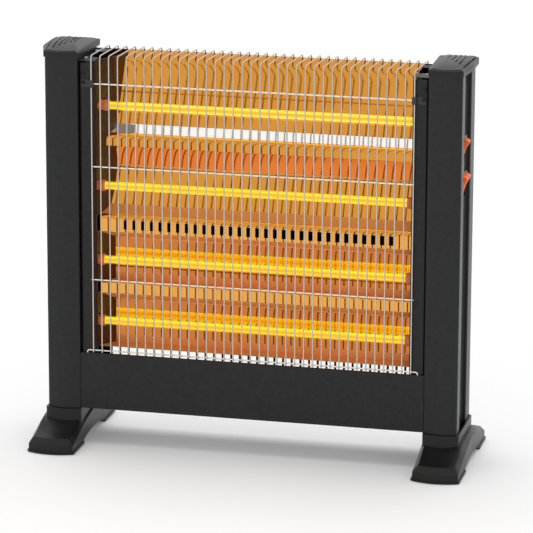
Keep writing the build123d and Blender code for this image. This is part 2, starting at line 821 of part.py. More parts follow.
def back_cover():
    """The flat back sheet, with a row of vents at its foot and two rows of louvre slots."""
    reach = bay - sheet_gap
    shape = block((-reach, reach), (cover_front, cover_back), (tray_bottom, column_top - cover_top_drop))
    through = cover_front - overrun, cover_back + overrun
    half_vent = (upright_pitch - vent_bar) / 2
    for index in range(upright_count - 1):
        x = (index - (upright_count - 2) / 2) * upright_pitch
        shape -= block((x - half_vent, x + half_vent), through, (vent_bottom, vent_bottom + vent_height))
    half_width, height = louvre_size[0] / 2, louvre_size[1]
    for row in louvre_rows:
        for index in range(louvre_count):
            x = (index - (louvre_count - 1) / 2) * louvre_pitch
            shape -= block((x - half_width, x + half_width), through, (row, row + height))
    x, z = gland_place
    shape -= hole_along_y(x, (cover_front, cover_back), z, gland_neck_radius + gland_hole_clearance)
    for place in cover_screw_places():
        shape -= screw_hole(place, (0, -1, 0))
    return shape


def cover_screw_places():
    """Seats of all screws in the back cover."""
    return both_sides(side_cover_screw_places()) + tray_screw_places()


def cord_bush():
    """The bush that the cord passes through: a flange outside, a neck and a six-sided nut inside."""
    x, z = gland_place
    inner_end = cover_front - gland_neck
    flange = rod((x, cover_back, z), (x, cover_back + gland_flange, z), gland_flange_radius)
    neck = rod((x, inner_end, z), (x, cover_back, z), gland_neck_radius)
    nut_seat = Plane(origin=(x, cover_front - gland_nut, z), z_dir=(0, 1, 0))
    nut = extrude(nut_seat * RegularPolygon(gland_flange_radius, 6), amount=gland_nut)
    return flange + neck + nut - hole_along_y(x, (inner_end, cover_back + gland_flange), z, gland_bore_radius)


def quartz_tube(index):
    """One clear tube, open at both ends."""
    y = front + tube_setbacks[index]
    reach = bay - tube_end_setback
    ends = (-reach, y, tube_heights[index]), (reach, y, tube_heights[index])
    return rod(*ends, tube_radius) - rod(*ends, tube_radius - tube_wall)


def heating_coil(index):
    """The close-wound coil as a sleeve of its outer size, with a straight lead at each end."""
    y = front + tube_setbacks[index]
    z = tube_heights[index]
    reach = bay - tube_end_setback - coil_end_setback
    shape = rod((-reach, y, z), (reach, y, z), coil_radius)
    shape -= rod((-reach, y, z), (reach, y, z), coil_radius - coil_wire)
    half_bar = coil_radius - coil_wire / 2
    for way in (-1, 1):
        x = sorted((way * reach, way * (reach - 2 * coil_lead_radius)))
        shape += block(x, (y - half_bar, y + half_bar), (z - coil_lead_radius, z + coil_lead_radius))
        tip = bay + column_wall + terminal_length - coil_lead_play
        shape += rod((way * (reach - coil_lead_radius), y, z), (way * tip, y, z), coil_lead_radius)
    return shape


def ceramic_ends():
    """The four ceramic sockets of one side, each with a blind bore for the tube and a hole for the lead."""
    pieces = []
    start = bay - ceramic_inset
    bore_end = bay - tube_end_setback + ceramic_floor_gap
    end = bay + column_wall
    for height, setback in zip(tube_heights, tube_setbacks):
        y = front + setback
        shape = rod((start, y, height), (end, y, height), ceramic_radius)
        shape -= rod((start, y, height), (bore_end, y, height), tube_radius + ceramic_socket_clearance)
        shape -= rod((start, y, height), (end, y, height), coil_lead_radius + terminal_clearance)
        pieces.append(shape)
    return Compound(children=pieces)


def tube_terminals():
    """The four terminals of one side, on the tubes' leads inside the column."""
    pieces = []
    start = bay + column_wall
    end = start + terminal_length
    for height, setback in zip(tube_heights, tube_setbacks):
        y = front + setback
        shape = rod((start, y, height), (end, y, height), terminal_radius)
        pieces.append(shape - hole_along_x((start, end), y, height, coil_lead_radius + terminal_clearance))
    return Compound(children=pieces)


def guard_uprights():
    """The guard's upright wires, each bent back over the top and hooked down behind the back cover."""
    top_front = column_top + guard_top_rise
    top_rear = top_front - guard_top_fall
    hook_y = cover_back + wire_radius + sheet_gap
    points = [(0, upright_y, panel_top + guard_foot_gap), (0, upright_y, top_front), (0, hook_y, top_rear),
              (0, hook_y, top_rear - guard_hook_drop)]
    wire = wire_along(points, [guard_bend, guard_hook_bend], wire_radius)
    wires = [Pos(-last_upright + index * upright_pitch, 0, 0) * wire for index in range(upright_count)]
    return Compound(children=[solid for wire in wires for solid in wire.solids()])


def guard_crosswires():
    """The guard's crosswires, behind the uprights; the lowest one is hooked down into the front panel."""
    wires = []
    for height, overhang in zip(crosswire_heights, crosswire_overhangs):
        reach = last_upright + overhang
        wires.append(rod((-reach, crosswire_y, height), (reach, crosswire_y, height), wire_radius))
    height = panel_top + low_wire_rise
    hook = last_upright + low_wire_overhang + low_wire_hook
    points = [(-hook, crosswire_y, height - low_wire_drop), (-hook, crosswire_y, height),
              (hook, crosswire_y, height), (hook, crosswire_y, height - low_wire_drop)]
    wires.append(wire_along(points, [low_wire_hook, low_wire_hook], wire_radius))
    return Compound(children=[solid for wire in wires for solid in wire.solids()])


def guard_clip():
    """The plate that holds the last upright and the top crosswire to the side frame."""
    seat = frame_face - clip_thickness
    over = upright_y - wire_radius - clip_clearance - clip_thickness
    inner = last_upright - wire_radius
    outer = last_upright + wire_radius
    start = inner - clip_reach[0]
    end = bay - clip_inset
    points = [(start, over + clip_lip), (inner - clip_reach[1], over), (outer + clip_step[0], over),
              (outer + clip_step[1], seat), (end, seat)]
    height = crosswire_heights[0]
    shape = sheet_upright(points, clip_thickness, (height - clip_height / 2, height + clip_height / 2))
    face = Plane(origin=((start + end) / 2, over, height), x_dir=(1, 0, 0), z_dir=(0, 1, 0))
    shape &= extrude(face * RectangleRounded(end - start, clip_height, clip_corner), amount=column_depth)
    return shape - screw_hole(frame_screw_places()[1], (0, 1, 0))


def key_tilt():
    """The lean of a key at rest, its upper end out, from upright."""
    rise = bezel_top_proud - bezel_foot_proud
    seat_tilt = math.degrees(math.atan2(rise, 2 * (key_radius + key_gap + bezel_rim)))
    return seat_tilt + key_rest_lean + key_throw / 2


def pivot_x():
    """Where the keys' pivots stand across the heater."""
    return channel_floor - pivot_sink


def rocker(switch, line):
    """One key: a disc round its pivot, cut by the hollow pressing face and a flat back."""
    height = switch_heights[switch]
    y = key_lines(switch)[line]
    x = pivot_x()
    body = rod((x, y - key_width / 2, height), (x, y + key_width / 2, height), key_radius)
    reach = 2 * key_radius
    hollow = reach * math.tan(math.radians(key_hollow_angle))
    points = [(-key_back, -reach), (key_face + hollow, -reach), (key_face, 0), (key_face + hollow, reach),
              (-key_back, reach)]
    cosine = math.cos(math.radians(key_tilt()))
    sine = math.sin(math.radians(key_tilt()))
    start = y - key_width
    turned = [(x + out * cosine + up * sine, start, height - out * sine + up * cosine) for out, up in points]
    body &= extrude(make_face(Polyline(*turned, close=True)), amount=2 * key_width, dir=(0, 1, 0))
    for way in (-1, 1):
        towards_divider = switch == 1 and (way > 0) == (line == 0)
        pin = key_gap + (key_divider - pin_play if towards_divider else housing_wall) / 2
        body += rod((x, y, height), (x, y + way * (key_width / 2 + pin), height), pivot_radius)
    return body


def switch_housing(switch):
    """Bezel and box of a switch in one moulding, open to the outside, with holes for the keys' pivots."""
    height = switch_heights[switch]
    half_width = housing_half_width(switch)
    half_height = key_radius + key_gap
    outer_width = half_width + housing_wall
    outer_height = half_height + housing_wall
    back = channel_floor - column_wall - housing_depth
    shape = block((back, channel_floor), (channel_centre - outer_width, channel_centre + outer_width),
                  (height - outer_height, height + outer_height))
    rim_width = half_width + bezel_rim
    low = height - half_height - bezel_rim
    high = height + half_height + bezel_rim
    outline = [(channel_floor, low), (channel_floor + bezel_foot_proud, low),
               (channel_floor + bezel_top_proud, high - bezel_bevel),
               (channel_floor + bezel_top_proud - bezel_bevel, high), (channel_floor, high)]
    bezel = make_face(Polyline(*[(x, channel_centre - rim_width, z) for x, z in outline], close=True))
    shape += extrude(bezel, amount=2 * rim_width, dir=(0, 1, 0))
    cavity_y = channel_centre - half_width, channel_centre + half_width
    cavity_z = height - half_height, height + half_height
    shape -= block((back + housing_wall, side), cavity_y, cavity_z)
    if switch == 1:
        divider = channel_centre - key_divider / 2, channel_centre + key_divider / 2
        shape += block((back, channel_floor), divider, cavity_z)
    reach = half_width + (housing_wall + pin_play) / 2
    pin_holes = rod((pivot_x(), channel_centre - reach, height), (pivot_x(), channel_centre + reach, height),
                    pivot_radius + pivot_clearance)
    return shape - pin_holes


def switch_blades():
    """The terminal blades on the backs of the switch housings, three for each key."""
    width, thickness, length = blade_size
    back = channel_floor - column_wall - housing_depth
    pieces = []
    for switch, height in enumerate(switch_heights):
        for y in key_lines(switch):
            for row in (-1, 0, 1):
                z = height + row * blade_pitch, height + row * blade_pitch + thickness
                pieces.append(block((back - length, back), (y - width / 2, y + width / 2), z))
    return Compound(children=pieces)


def tip_case_start():
    """The inner face of the column's inner wall, where the tip-over switch is fixed."""
    return bay + column_wall


def tip_pin_place():
    """Where the weight's pin stands, as (X, Z)."""
    return tip_case_start() + tip_case[0] / 2, tip_case_bottom + tip_case[2] - tip_pin_drop


def tip_screw_places():
    """Where the screws of the tip-over switch pass the column's inner wall, as (Y, Z)."""
    return [(rear - tip_screw_setback, tip_case_bottom + share * tip_case[2]) for share in tip_screw_shares]


def tip_case_block():
    """A three-walled case: a back plate on the column and a cheek to the front and to the rear."""
    depth, width, height = tip_case
    half = width / 2
    start = tip_case_start()
    z = tip_case_bottom, tip_case_bottom + height
    wall = start, start + tip_case_wall
    shape = block(wall, (-half, rear - tip_case_rear_gap), z)
    shape += block((start, start + depth), (-half, -half + tip_case_wall), z)
    shape += block((start, start + depth), (half - tip_case_wall, half), z)
    x, pin_z = tip_pin_place()
    shape += rod((x, -half, pin_z), (x, half, pin_z), tip_pin_radius)
    for place in tip_screw_places():
        shape -= hole_along_x(wall, *place, screw_radius + screw_hole_clearance)
    return shape


def tip_weight():
    """The hanging weight that lets go of the contact when the heater falls over."""
    x, z = tip_pin_place()
    hub = tip_case[1] / 2 - tip_case_wall - tip_hub_gap
    low = z - tip_weight_drop
    shape = rod((x, -hub, z), (x, hub, z), tip_hub_radius)
    shape += rod((x, 0, z), (x, 0, low), tip_rod_radius)
    shape += rod((x, 0, low), (x, 0, low + tip_weight_height), tip_weight_radius)
    return shape - hole_along_y(x, (-hub, hub), z, tip_pin_radius + tip_pin_clearance)


def thermal_cutout():
    """A round bimetal switch on the back of the topmost wall of the reflector, with two blades."""
    upper = rear - rim_setback, column_top - reflector_top_drop - rim_fall[1]
    lower = front + upper_wall_setback, tube_heights[0] - first_floor[0]
    run = lower[0] - upper[0], lower[1] - upper[1]
    length = math.hypot(*run)
    normal = -run[1] / length, run[0] / length
    centre = [(a + b) / 2 + polished_sheet * n for a, b, n in zip(upper, lower, normal)]
    way = Vector(0, *normal)
    start = Vector(cutout_place, *centre)
    back = start + way * cutout_thickness
    shape = rod(start, back, cutout_radius)
    spread, blade_length, blade_radius = cutout_blade
    for side_way in (-1, 1):
        blade = back + Vector(side_way * spread, 0, 0)
        shape += rod(blade, blade + way * blade_length, blade_radius)
    return shape


def terminal_block():
    """The terminal block on the tray, with a screw hole and a wire hole for each way."""
    length, width, height = block_size
    top = tray_top + height
    start = block_place - length / 2
    shape = block((start, start + length), (-width / 2, width / 2), (tray_top, top))
    for index in range(block_ways):
        x = block_place + (index - (block_ways - 1) / 2) * length / block_ways
        radius, depth = block_screw
        shape -= rod((x, 0, top - depth), (x, 0, top + overrun), radius)
        radius, rise = block_wire_hole
        shape -= hole_along_y(x, (-width / 2, width / 2), tray_top + rise, radius)
    return shape


def wiring_loom(start_x):
    """The loom of one side: from beside the terminal block, through the column's wall and up to the tubes."""
    trunk_x = middle + loom_inward
    y = loom_y()
    top = tube_heights[0] - loom_top_drop
    points = [(start_x, y, loom_height), (trunk_x, y, loom_height), (trunk_x, y, top)]
    shape = wire_along(points, [loom_bend], loom_radius)
    terminal_x = bay + column_wall + terminal_length
    branch_x = terminal_x + loom_branch_reach
    for height, setback in zip(tube_heights, tube_setbacks):
        tube_y = front + setback
        low = height - loom_branch_drop
        points = [(terminal_x, tube_y, height), (branch_x, tube_y, height), (branch_x, y, low),
                  (trunk_x, y, low)]
        shape += wire_along(points, [loom_branch_bend, loom_branch_bend], loom_branch_radius)
    return shape


def screw_group(places, direction, **sizes):
    """Alike screws as one group of solids."""
    return Compound(children=[screw(place, direction, **sizes) for place in places])


def both_sides(places):
    """Places on the right side with their mirror images on the left."""
    return places + [(-x, y, z) for x, y, z in places]


def foot_screws():
    """The four screws that hold the feet to the columns' bosses, driven up from below."""
    places = [(x, y, foot_screw_seat) for x, y in boss_places()]
    return screw_group(both_sides(places), (0, 0, 1), length=foot_screw_length)


def foot_pads():
    """The rubber pads under both feet."""
    right = [foot_pad(way) for way in (-1, 1)]
    return Compound(children=right + [left_of(pad) for pad in right])


def main():
    os.makedirs("parts", exist_ok=True)
    save("left_column", left_of(column(False)))
    save("right_column", column(True))
    right_cap = cap()
    save("left_cap", left_of(right_cap))
    save("right_cap", right_cap)
    right_foot = foot()
    save("left_foot", left_of(right_foot))
    save("right_foot", right_foot)
    save("foot_pads", foot_pads())
    save("foot_screws", foot_screws())

    save("front_panel", front_panel())
    save("panel_screws", screw_group(panel_screw_places(), (0, 0, 1)))
    save("bottom_tray", bottom_tray())
    save("back_cover", back_cover())
    save("back_cover_screws", screw_group(cover_screw_places(), (0, -1, 0)))
    save("cord_bush", cord_bush())

    right_frame = side_frame()
    save("left_side_frame", left_of(right_frame))
    save("right_side_frame", right_frame)
    bracket = top_bracket()
    save("left_top_bracket", left_of(bracket))
    save("right_top_bracket", bracket)
    save("side_frame_screws", screw_group(both_sides(frame_screw_places()[:1]), (0, 1, 0)))
    bracket_seats = both_sides([(x, y, frame_top + painted_sheet) for x, y in bracket_screw_places()])
    save("top_bracket_screws", screw_group(bracket_seats, (0, 0, -1), length=bracket_screw_length))

    save("reflector", reflector())
    right_plate = side_plate()
    save("left_side_plate", left_of(right_plate))
    save("right_side_plate", right_plate)

    for index in range(len(tube_heights)):
        save(f"quartz_tube_{index + 1}", quartz_tube(index))
        save(f"heating_coil_{index + 1}", heating_coil(index))
    save("left_tube_ends", left_of(ceramic_ends()))
    save("right_tube_ends", ceramic_ends())
    save("left_tube_terminals", left_of(tube_terminals()))
    save("right_tube_terminals", tube_terminals())

    save("guard_uprights", guard_uprights())
    save("guard_crosswires", guard_crosswires())
    clip = guard_clip()
    save("guard_clips", Compound(children=[clip, left_of(clip)]))
    save("guard_clip_screws", screw_group(both_sides(frame_screw_places()[1:]), (0, 1, 0)))

    save("upper_switch_housing", switch_housing(0))
    save("lower_switch_housing", switch_housing(1))
    save("upper_rocker", rocker(0, 0))
    save("lower_front_rocker", rocker(1, 0))
    save("lower_rear_rocker", rocker(1, 1))
    save("switch_blades", switch_blades())

    save("tip_over_case", tip_case_block())
    save("tip_over_weight", tip_weight())
    tip_seats = [(bay - painted_sheet, *place) for place in tip_screw_places()]
    save("tip_over_screws", screw_group(tip_seats, (1, 0, 0)))
    save("thermal_cutout", thermal_cutout())
    save("terminal_block", terminal_block())
    beside_block = block_size[0] / 2 + loom_start_gap
    save("right_wiring_loom", wiring_loom(block_place + beside_block))
    save("left_wiring_loom", left_of(wiring_loom(beside_block - block_place)))
    print("key tilt", round(key_tilt(), 3), "pivot x", pivot_x(), "guard pitch", round(upright_pitch, 3))


main()
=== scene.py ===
import bmesh
import bpy
import math
from mathutils import Matrix, Vector


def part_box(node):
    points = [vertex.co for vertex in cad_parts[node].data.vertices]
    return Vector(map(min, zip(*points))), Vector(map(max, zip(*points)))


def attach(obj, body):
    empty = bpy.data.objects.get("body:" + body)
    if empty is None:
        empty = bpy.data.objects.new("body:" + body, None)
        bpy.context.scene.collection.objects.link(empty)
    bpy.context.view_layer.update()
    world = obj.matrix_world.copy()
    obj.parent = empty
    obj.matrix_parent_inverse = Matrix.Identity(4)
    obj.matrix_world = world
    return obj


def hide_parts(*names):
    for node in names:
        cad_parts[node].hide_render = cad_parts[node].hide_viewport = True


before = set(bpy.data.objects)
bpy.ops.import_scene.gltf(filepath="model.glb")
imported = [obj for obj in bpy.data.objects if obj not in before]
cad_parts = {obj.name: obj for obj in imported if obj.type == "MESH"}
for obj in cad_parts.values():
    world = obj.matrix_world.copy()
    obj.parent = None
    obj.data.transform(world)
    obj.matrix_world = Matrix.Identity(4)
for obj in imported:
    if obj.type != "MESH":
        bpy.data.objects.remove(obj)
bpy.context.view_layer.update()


# Camera
# The heater is seen from a little to its right and from above, through a long lens, so that its uprights stay
# nearly parallel.
camera_place = 0.9233, -3.8851, 1.2695
camera_turn = 0.2310
camera_dip = 0.2563
camera_roll = 0.0037
focal_pixels = 3465.5
frame_pixels = 533
sensor_width = 36.0
camera_sight = 50.0

camera_data = bpy.data.cameras.new("camera")
camera_data.sensor_width = sensor_width
camera_data.lens = focal_pixels * sensor_width / frame_pixels
camera_data.clip_end = camera_sight
camera = bpy.data.objects.new("camera", camera_data)
bpy.context.scene.collection.objects.link(camera)
upright_look = Matrix.Rotation(math.pi / 2 - camera_dip, 4, "X") @ Matrix.Rotation(camera_roll, 4, "Z")
camera.matrix_world = Matrix.Translation(camera_place) @ Matrix.Rotation(camera_turn, 4, "Z") @ upright_look
bpy.context.scene.camera = camera
bpy.context.scene.view_settings.view_transform = "Standard"


# Studio
# A white sweep of paper under the heater, a white room around it and one very wide soft lamp far overhead, a
# little behind the heater, which gives the shadow between the feet.
white = 1.0, 1.0, 1.0
room_light = 0.55
paper_colour = 0.87, 0.87, 0.87
paper_roughness = 0.9
paper_lift = 0.15
paper_size = 14.0
lamp_from = -0.10, 0.22, 1.0
lamp_strength = 1.50
lamp_spread = math.radians(52)


def feed(tree, node, inputs):
    """Give each of a node's inputs its value, or link it where the value is another node's output."""
    for label, value in inputs.items():
        if isinstance(value, bpy.types.NodeSocket):
            tree.links.new(value, node.inputs[label])
        elif isinstance(value, tuple):
            node.inputs[label].default_value = value + (1.0,)
        else:
            node.inputs[label].default_value = value


def add_node(tree, kind, inputs, output=0, **settings):
    """One output of a new shader node with its settings and inputs."""
    node = tree.nodes.new("ShaderNode" + kind)
    for setting, value in settings.items():
        setattr(node, setting, value)
    feed(tree, node, inputs)
    return node.outputs[output]


def calculate(tree, operation, first, second):
    """A Math node's value, kept between none and one."""
    return add_node(tree, "Math", {0: first, 1: second}, operation=operation, use_clamp=True)


def spread(tree, value, low, high):
    """A value from none to one, spread between two others."""
    return add_node(tree, "MapRange", {"Value": value, "To Min": low, "To Max": high})


def seen_straight(tree):
    """One where a ray comes from the camera, a mirror or glass, and none where it carries light."""
    rays = tree.nodes.new("ShaderNodeLightPath").outputs
    bare = calculate(tree, "ADD", rays["Is Camera Ray"], rays["Is Glossy Ray"])
    return calculate(tree, "ADD", bare, rays["Is Transmission Ray"])


def new_material(name):
    """A material, its node tree and the Principled shader that is alone in it."""
    material = bpy.data.materials.new(name)
    material.use_nodes = True
    tree = material.node_tree
    tree.nodes.clear()
    shader = tree.nodes.new("ShaderNodeBsdfPrincipled")
    feed(tree, tree.nodes.new("ShaderNodeOutputMaterial"), {"Surface": shader.outputs["BSDF"]})
    return material, tree, shader


paper_mesh = bmesh.new()
bmesh.ops.create_grid(paper_mesh, x_segments=2, y_segments=2, size=paper_size)
paper_data = bpy.data.meshes.new("paper_floor")
paper_mesh.to_mesh(paper_data)
paper_mesh.free()
paper = bpy.data.objects.new("paper_floor", paper_data)
bpy.context.scene.collection.objects.link(paper)
paper_material, paper_tree, paper_shader = new_material("paper")
paper_glow = calculate(paper_tree, "MULTIPLY", seen_straight(paper_tree), paper_lift)
feed(paper_tree, paper_shader, {"Base Color": paper_colour, "Roughness": paper_roughness,
                                "Specular IOR Level": 0.0, "Emission Color": white,
                                "Emission Strength": paper_glow})
paper_data.materials.append(paper_material)

room = bpy.data.worlds.new("white_room")
bpy.context.scene.world = room
room.use_nodes = True
room_tree = room.node_tree
room_tree.nodes.clear()
room_level = spread(room_tree, seen_straight(room_tree), room_light, 1.0)
room_surface = add_node(room_tree, "Background", {"Color": white, "Strength": room_level})
feed(room_tree, room_tree.nodes.new("ShaderNodeOutputWorld"), {"Surface": room_surface})

lamp_data = bpy.data.lights.new("overhead_lamp", "SUN")
lamp_data.energy = lamp_strength
lamp_data.angle = lamp_spread
lamp = bpy.data.objects.new("overhead_lamp", lamp_data)
lamp.rotation_euler = Vector(lamp_from).to_track_quat("Z", "Y").to_euler()
lamp.visible_glossy = False
bpy.context.scene.collection.objects.link(lamp)


# Columns
# Two hollow columns moulded in charcoal plastic with bowed front and rear faces. A channel runs down the
# outer side of each, with a half-round dent at its top and bottom. The right one is cut out for the switches.
mm = 0.001
column_low, column_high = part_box("right_column")
bay = column_low.x
side = column_high.x
column_middle = (bay + side) / 2
column_front_line = -42.0 * mm
column_rear_line = 42.0 * mm
column_bow = 5.0 * mm
column_wall = 2.0 * mm
column_edge = 1.4 * mm
bow_points = 12
channel_floor = side - 5.0 * mm
channel_front = -24.0 * mm
channel_rear = 17.0 * mm
dent_middle = (channel_front + channel_rear) / 2
dent_radius = 14.0 * mm
dent_depth = 1.2 * mm
dent_points = 24
dent_heights = (column_high.z - 5.5 * mm, -1), (44.0 * mm, 1)
switch_rim = 1.3 * mm
charcoal = 0.0085, 0.0085, 0.0087
charcoal_rubbed = 0.026, 0.026, 0.027
channel_colour = 0.0290, 0.0320, 0.0340
blotch_shade = 0.86
blotch_sheen = 0.06
rub_strength = 14.0
flat_turn = 0.2
corner_share = 0.49
channel_slack = 0.3 * mm


def effect_group(name, inputs, outputs):
    """An empty node group with named value inputs, each with its usual value, and named value outputs."""
    tree = bpy.data.node_groups.new(name, "ShaderNodeTree")
    for label, usual in inputs.items():
        socket = tree.interface.new_socket(label, in_out="INPUT", socket_type="NodeSocketFloat")
        socket.default_value = usual
    for label in outputs:
        tree.interface.new_socket(label, in_out="OUTPUT", socket_type="NodeSocketFloat")
    place = tree.nodes.new("ShaderNodeTexCoord").outputs["Object"]
    return tree, place, tree.nodes.new("NodeGroupInput").outputs, tree.nodes.new("NodeGroupOutput")


def noise(tree, where, scale, detail):
    """A noise texture at a place."""
    return add_node(tree, "TexNoise", {"Vector": where, "Scale": scale, "Detail": detail})


# Fine grain: the pebbled texture of a moulded or powder-coated surface, with a slow blotch over it
grain_tree, grain_place, grain_in, grain_out = effect_group(
    "fine_grain", {"Grain Scale": 2400.0, "Blotch Scale": 18.0}, ("Height", "Blotch"))
feed(grain_tree, grain_out, {"Height": noise(grain_tree, grain_place, grain_in["Grain Scale"], detail=2.0),
                             "Blotch": noise(grain_tree, grain_place, grain_in["Blotch Scale"], detail=5.0)})

# Rubbed edges: where a corner stands out, broken up by noise
rub_tree, rub_place, rub_in, rub_out = effect_group(
    "rubbed_edges", {"Start": 0.53, "Breakup": 160.0}, ("Mask",))
rub_sharp = rub_tree.nodes.new("ShaderNodeNewGeometry").outputs["Pointiness"]
rub_above = calculate(rub_tree, "SUBTRACT", rub_sharp, rub_in["Start"])
rub_edge = calculate(rub_tree, "MULTIPLY", rub_above, rub_strength)
rub_noise = noise(rub_tree, rub_place, rub_in["Breakup"], detail=3.0)
feed(rub_tree, rub_out, {"Mask": calculate(rub_tree, "MULTIPLY", rub_edge, rub_noise)})


def place_group(tree, group, **values):
    """The outputs of a shared effect placed in a material, with its own values."""
    node = tree.nodes.new("ShaderNodeGroup")
    node.node_tree = group
    feed(tree, node, {label.replace("_", " "): value for label, value in values.items()})
    return node.outputs


def blend_colours(tree, mask, first, second):
    """A colour that goes from the first to the second with a mask."""
    return add_node(tree, "Mix", {"Factor": mask, 6: first, 7: second}, 2, data_type="RGBA")


def shaded(colour, share):
    """A colour made darker."""
    return tuple(share * c for c in colour)


def raise_bumps(tree, shader, height, distance, strength=1.0):
    """Bumps of a depth in metres over a shader's surface."""
    feed(tree, shader, {"Normal": add_node(tree, "Bump", {"Height": height, "Distance": distance,
                                                          "Strength": strength})})


def coated(name, colour, rubbed, roughness, gloss, grain_depth, grain_scale=2400.0):
    """Moulded plastic or powder-coated steel: fine grain, a slow blotch in its sheen and rubbed corners."""
    material, tree, shader = new_material(name)
    grain = place_group(tree, grain_tree, Grain_Scale=grain_scale)
    tone = blend_colours(tree, grain["Blotch"], shaded(colour, blotch_shade), colour)
    feed(tree, shader, {
        "Base Color": blend_colours(tree, place_group(tree, rub_tree)["Mask"], tone, rubbed),
        "Roughness": spread(tree, grain["Blotch"], roughness - blotch_sheen, roughness + blotch_sheen),
        "Specular IOR Level": gloss})
    raise_bumps(tree, shader, grain["Height"], grain_depth)
    return material


housing_plastic = coated("housing_plastic", charcoal, charcoal_rubbed, roughness=0.36, gloss=0.30,
                         grain_depth=0.05 * mm)
channel_plastic = coated("channel_plastic", channel_colour, charcoal_rubbed, roughness=0.62, gloss=0.20,
                         grain_depth=0.06 * mm)


def drawn_to(start, pull, end, count):
    """Points on a curve from start to end, drawn towards a third point."""
    start, pull, end = Vector(start), Vector(pull), Vector(end)
    return [(1 - s / count) ** 2 * start + 2 * s / count * (1 - s / count) * pull + (s / count) ** 2 * end
            for s in range(count + 1)]


def rounded(points, radius, steps=4):
    """The closed line of points with each sharp corner turned into a short arc."""
    line = []
    for index, corner in enumerate(points):
        here = Vector(corner)
        before = Vector(points[index - 1]) - here
        after = Vector(points[(index + 1) % len(points)]) - here
        turn = math.pi - before.angle(after)
        reach = radius * math.tan(turn / 2)
        if turn < flat_turn or reach > corner_share * min(before.length, after.length):
            line.append(here)
            continue
        start, end = here + before.normalized() * reach, here + after.normalized() * reach
        line += drawn_to(start, here, end, steps)
    return line


def bow(start, end, height, count):
    """Points from start to end, without the end, on a shallow bow to the left of the way between them."""
    start, end = Vector(start), Vector(end)
    across = Vector((start.y - end.y, end.x - start.x)).normalized()
    return [start.lerp(end, step / count) + across * height * 4 * (step / count) * (1 - step / count)
            for step in range(count)]


def band(mesh, first, second):
    """The faces between two closed rings of vertices."""
    count = len(first)
    return [mesh.faces.new((first[k], first[(k + 1) % count], second[(k + 1) % count], second[k]))
            for k in range(count)]


def skin(mesh, rings, joined=False):
    """The faces along a row of rings, whose two ends are closed, or joined to each other round a hollow."""
    faces = [face for first, second in zip(rings, rings[1:]) for face in band(mesh, first, second)]
    if joined:
        band(mesh, rings[-1], rings[0])
    else:
        mesh.faces.new(rings[0][::-1])
        mesh.faces.new(rings[-1])
    return faces


def prism(mesh, line, low, high, material_of=None):
    """A closed upright prism on a line of (x, y) points."""
    faces = skin(mesh, [[mesh.verts.new((p[0], p[1], z)) for p in line] for z in (low, high)])
    for index, face in enumerate(faces if material_of else ()):
        face.material_index = material_of((line[index] + line[(index + 1) % len(line)]) / 2)


def cross_block(mesh, places, points):
    """A closed solid between two places across the heater, on a line of (y, z) points."""
    skin(mesh, [[mesh.verts.new((x, y, z)) for y, z in points] for x in places])


def box_shape(mesh, x, y, z):
    """A closed box between two limits along each axis."""
    corners = [mesh.verts.new((a, b, c)) for a in sorted(x) for b in sorted(y) for c in sorted(z)]
    for face in ((0, 1, 3, 2), (4, 6, 7, 5), (0, 4, 5, 1), (2, 3, 7, 6), (0, 2, 6, 4), (1, 5, 7, 3)):
        mesh.faces.new([corners[index] for index in face])


def made(shape, *sizes, **settings):
    """A new bmesh with one shape in it."""
    mesh = bmesh.new()
    shape(mesh, *sizes, **settings)
    return mesh


def smoothed(data, sharp):
    """A mesh shaded smooth but for its sharp edges."""
    for face in data.polygons:
        face.use_smooth = True
    data.set_sharp_from_angle(angle=math.radians(sharp))


def finish_piece(name, mesh, materials, slot=None, replaces=(), sharp=32.0):
    """A bmesh turned into a piece with its finish, its body and its CAD nodes."""
    bmesh.ops.recalc_face_normals(mesh, faces=mesh.faces)
    data = bpy.data.meshes.new(name)
    mesh.to_mesh(data)
    mesh.free()
    for material in materials:
        data.materials.append(material)
    smoothed(data, sharp)
    piece = bpy.data.objects.new(name, data)
    bpy.context.scene.collection.objects.link(piece)
    if slot:
        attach(piece, "heater")
        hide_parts(*replaces)
    return piece


def change(piece, kind, sharp=32.0, **settings):
    """Change a piece's mesh with a modifier."""
    modifier = piece.modifiers.new(kind.lower(), kind)
    for setting, value in settings.items():
        setattr(modifier, setting, value)
    evaluated = piece.evaluated_get(bpy.context.evaluated_depsgraph_get())
    data = bpy.data.meshes.new_from_object(evaluated)
    piece.modifiers.clear()
    piece.data = data
    smoothed(data, sharp)


def cut(piece, tool_mesh, operation="DIFFERENCE", sharp=32.0):
    """Cut a piece with the closed shapes in a bmesh, or join them to it."""
    tool = finish_piece("tool", tool_mesh, piece.data.materials[:1])
    change(piece, "BOOLEAN", sharp, operation=operation, object=tool, solver="EXACT")
    bpy.data.objects.remove(tool)


def soften(piece, width, segments=3, angle=30.0):
    """Round a piece's edges over a width."""
    change(piece, "BEVEL", width=width, segments=segments, limit_method="ANGLE",
           angle_limit=math.radians(angle), harden_normals=False)


def on_side(points, way):
    """Plan points of the right side, or mirrored to the left in an order that keeps the outside out."""
    return [Vector((way * x, y)) for x, y in points][::way]


def column_plan(inset, way):
    """The plan of a column's outside, or of its hollow with an inset."""
    inner, outer, floor = bay + inset, side - inset, channel_floor - inset
    front, rear = column_front_line + inset, column_rear_line - inset
    points = (bow((inner, front), (outer, front), -column_bow, bow_points)
              + [(outer, front), (outer, channel_front - inset), (floor, channel_front - inset),
                 (floor, channel_rear + inset), (outer, channel_rear + inset)]
              + bow((outer, rear), (inner, rear), -column_bow, bow_points) + [(inner, rear)])
    return on_side(points, way)


def in_channel(middle):
    """One on the channel's floor and none elsewhere."""
    return int(abs(abs(middle.x) - channel_floor) < channel_slack)


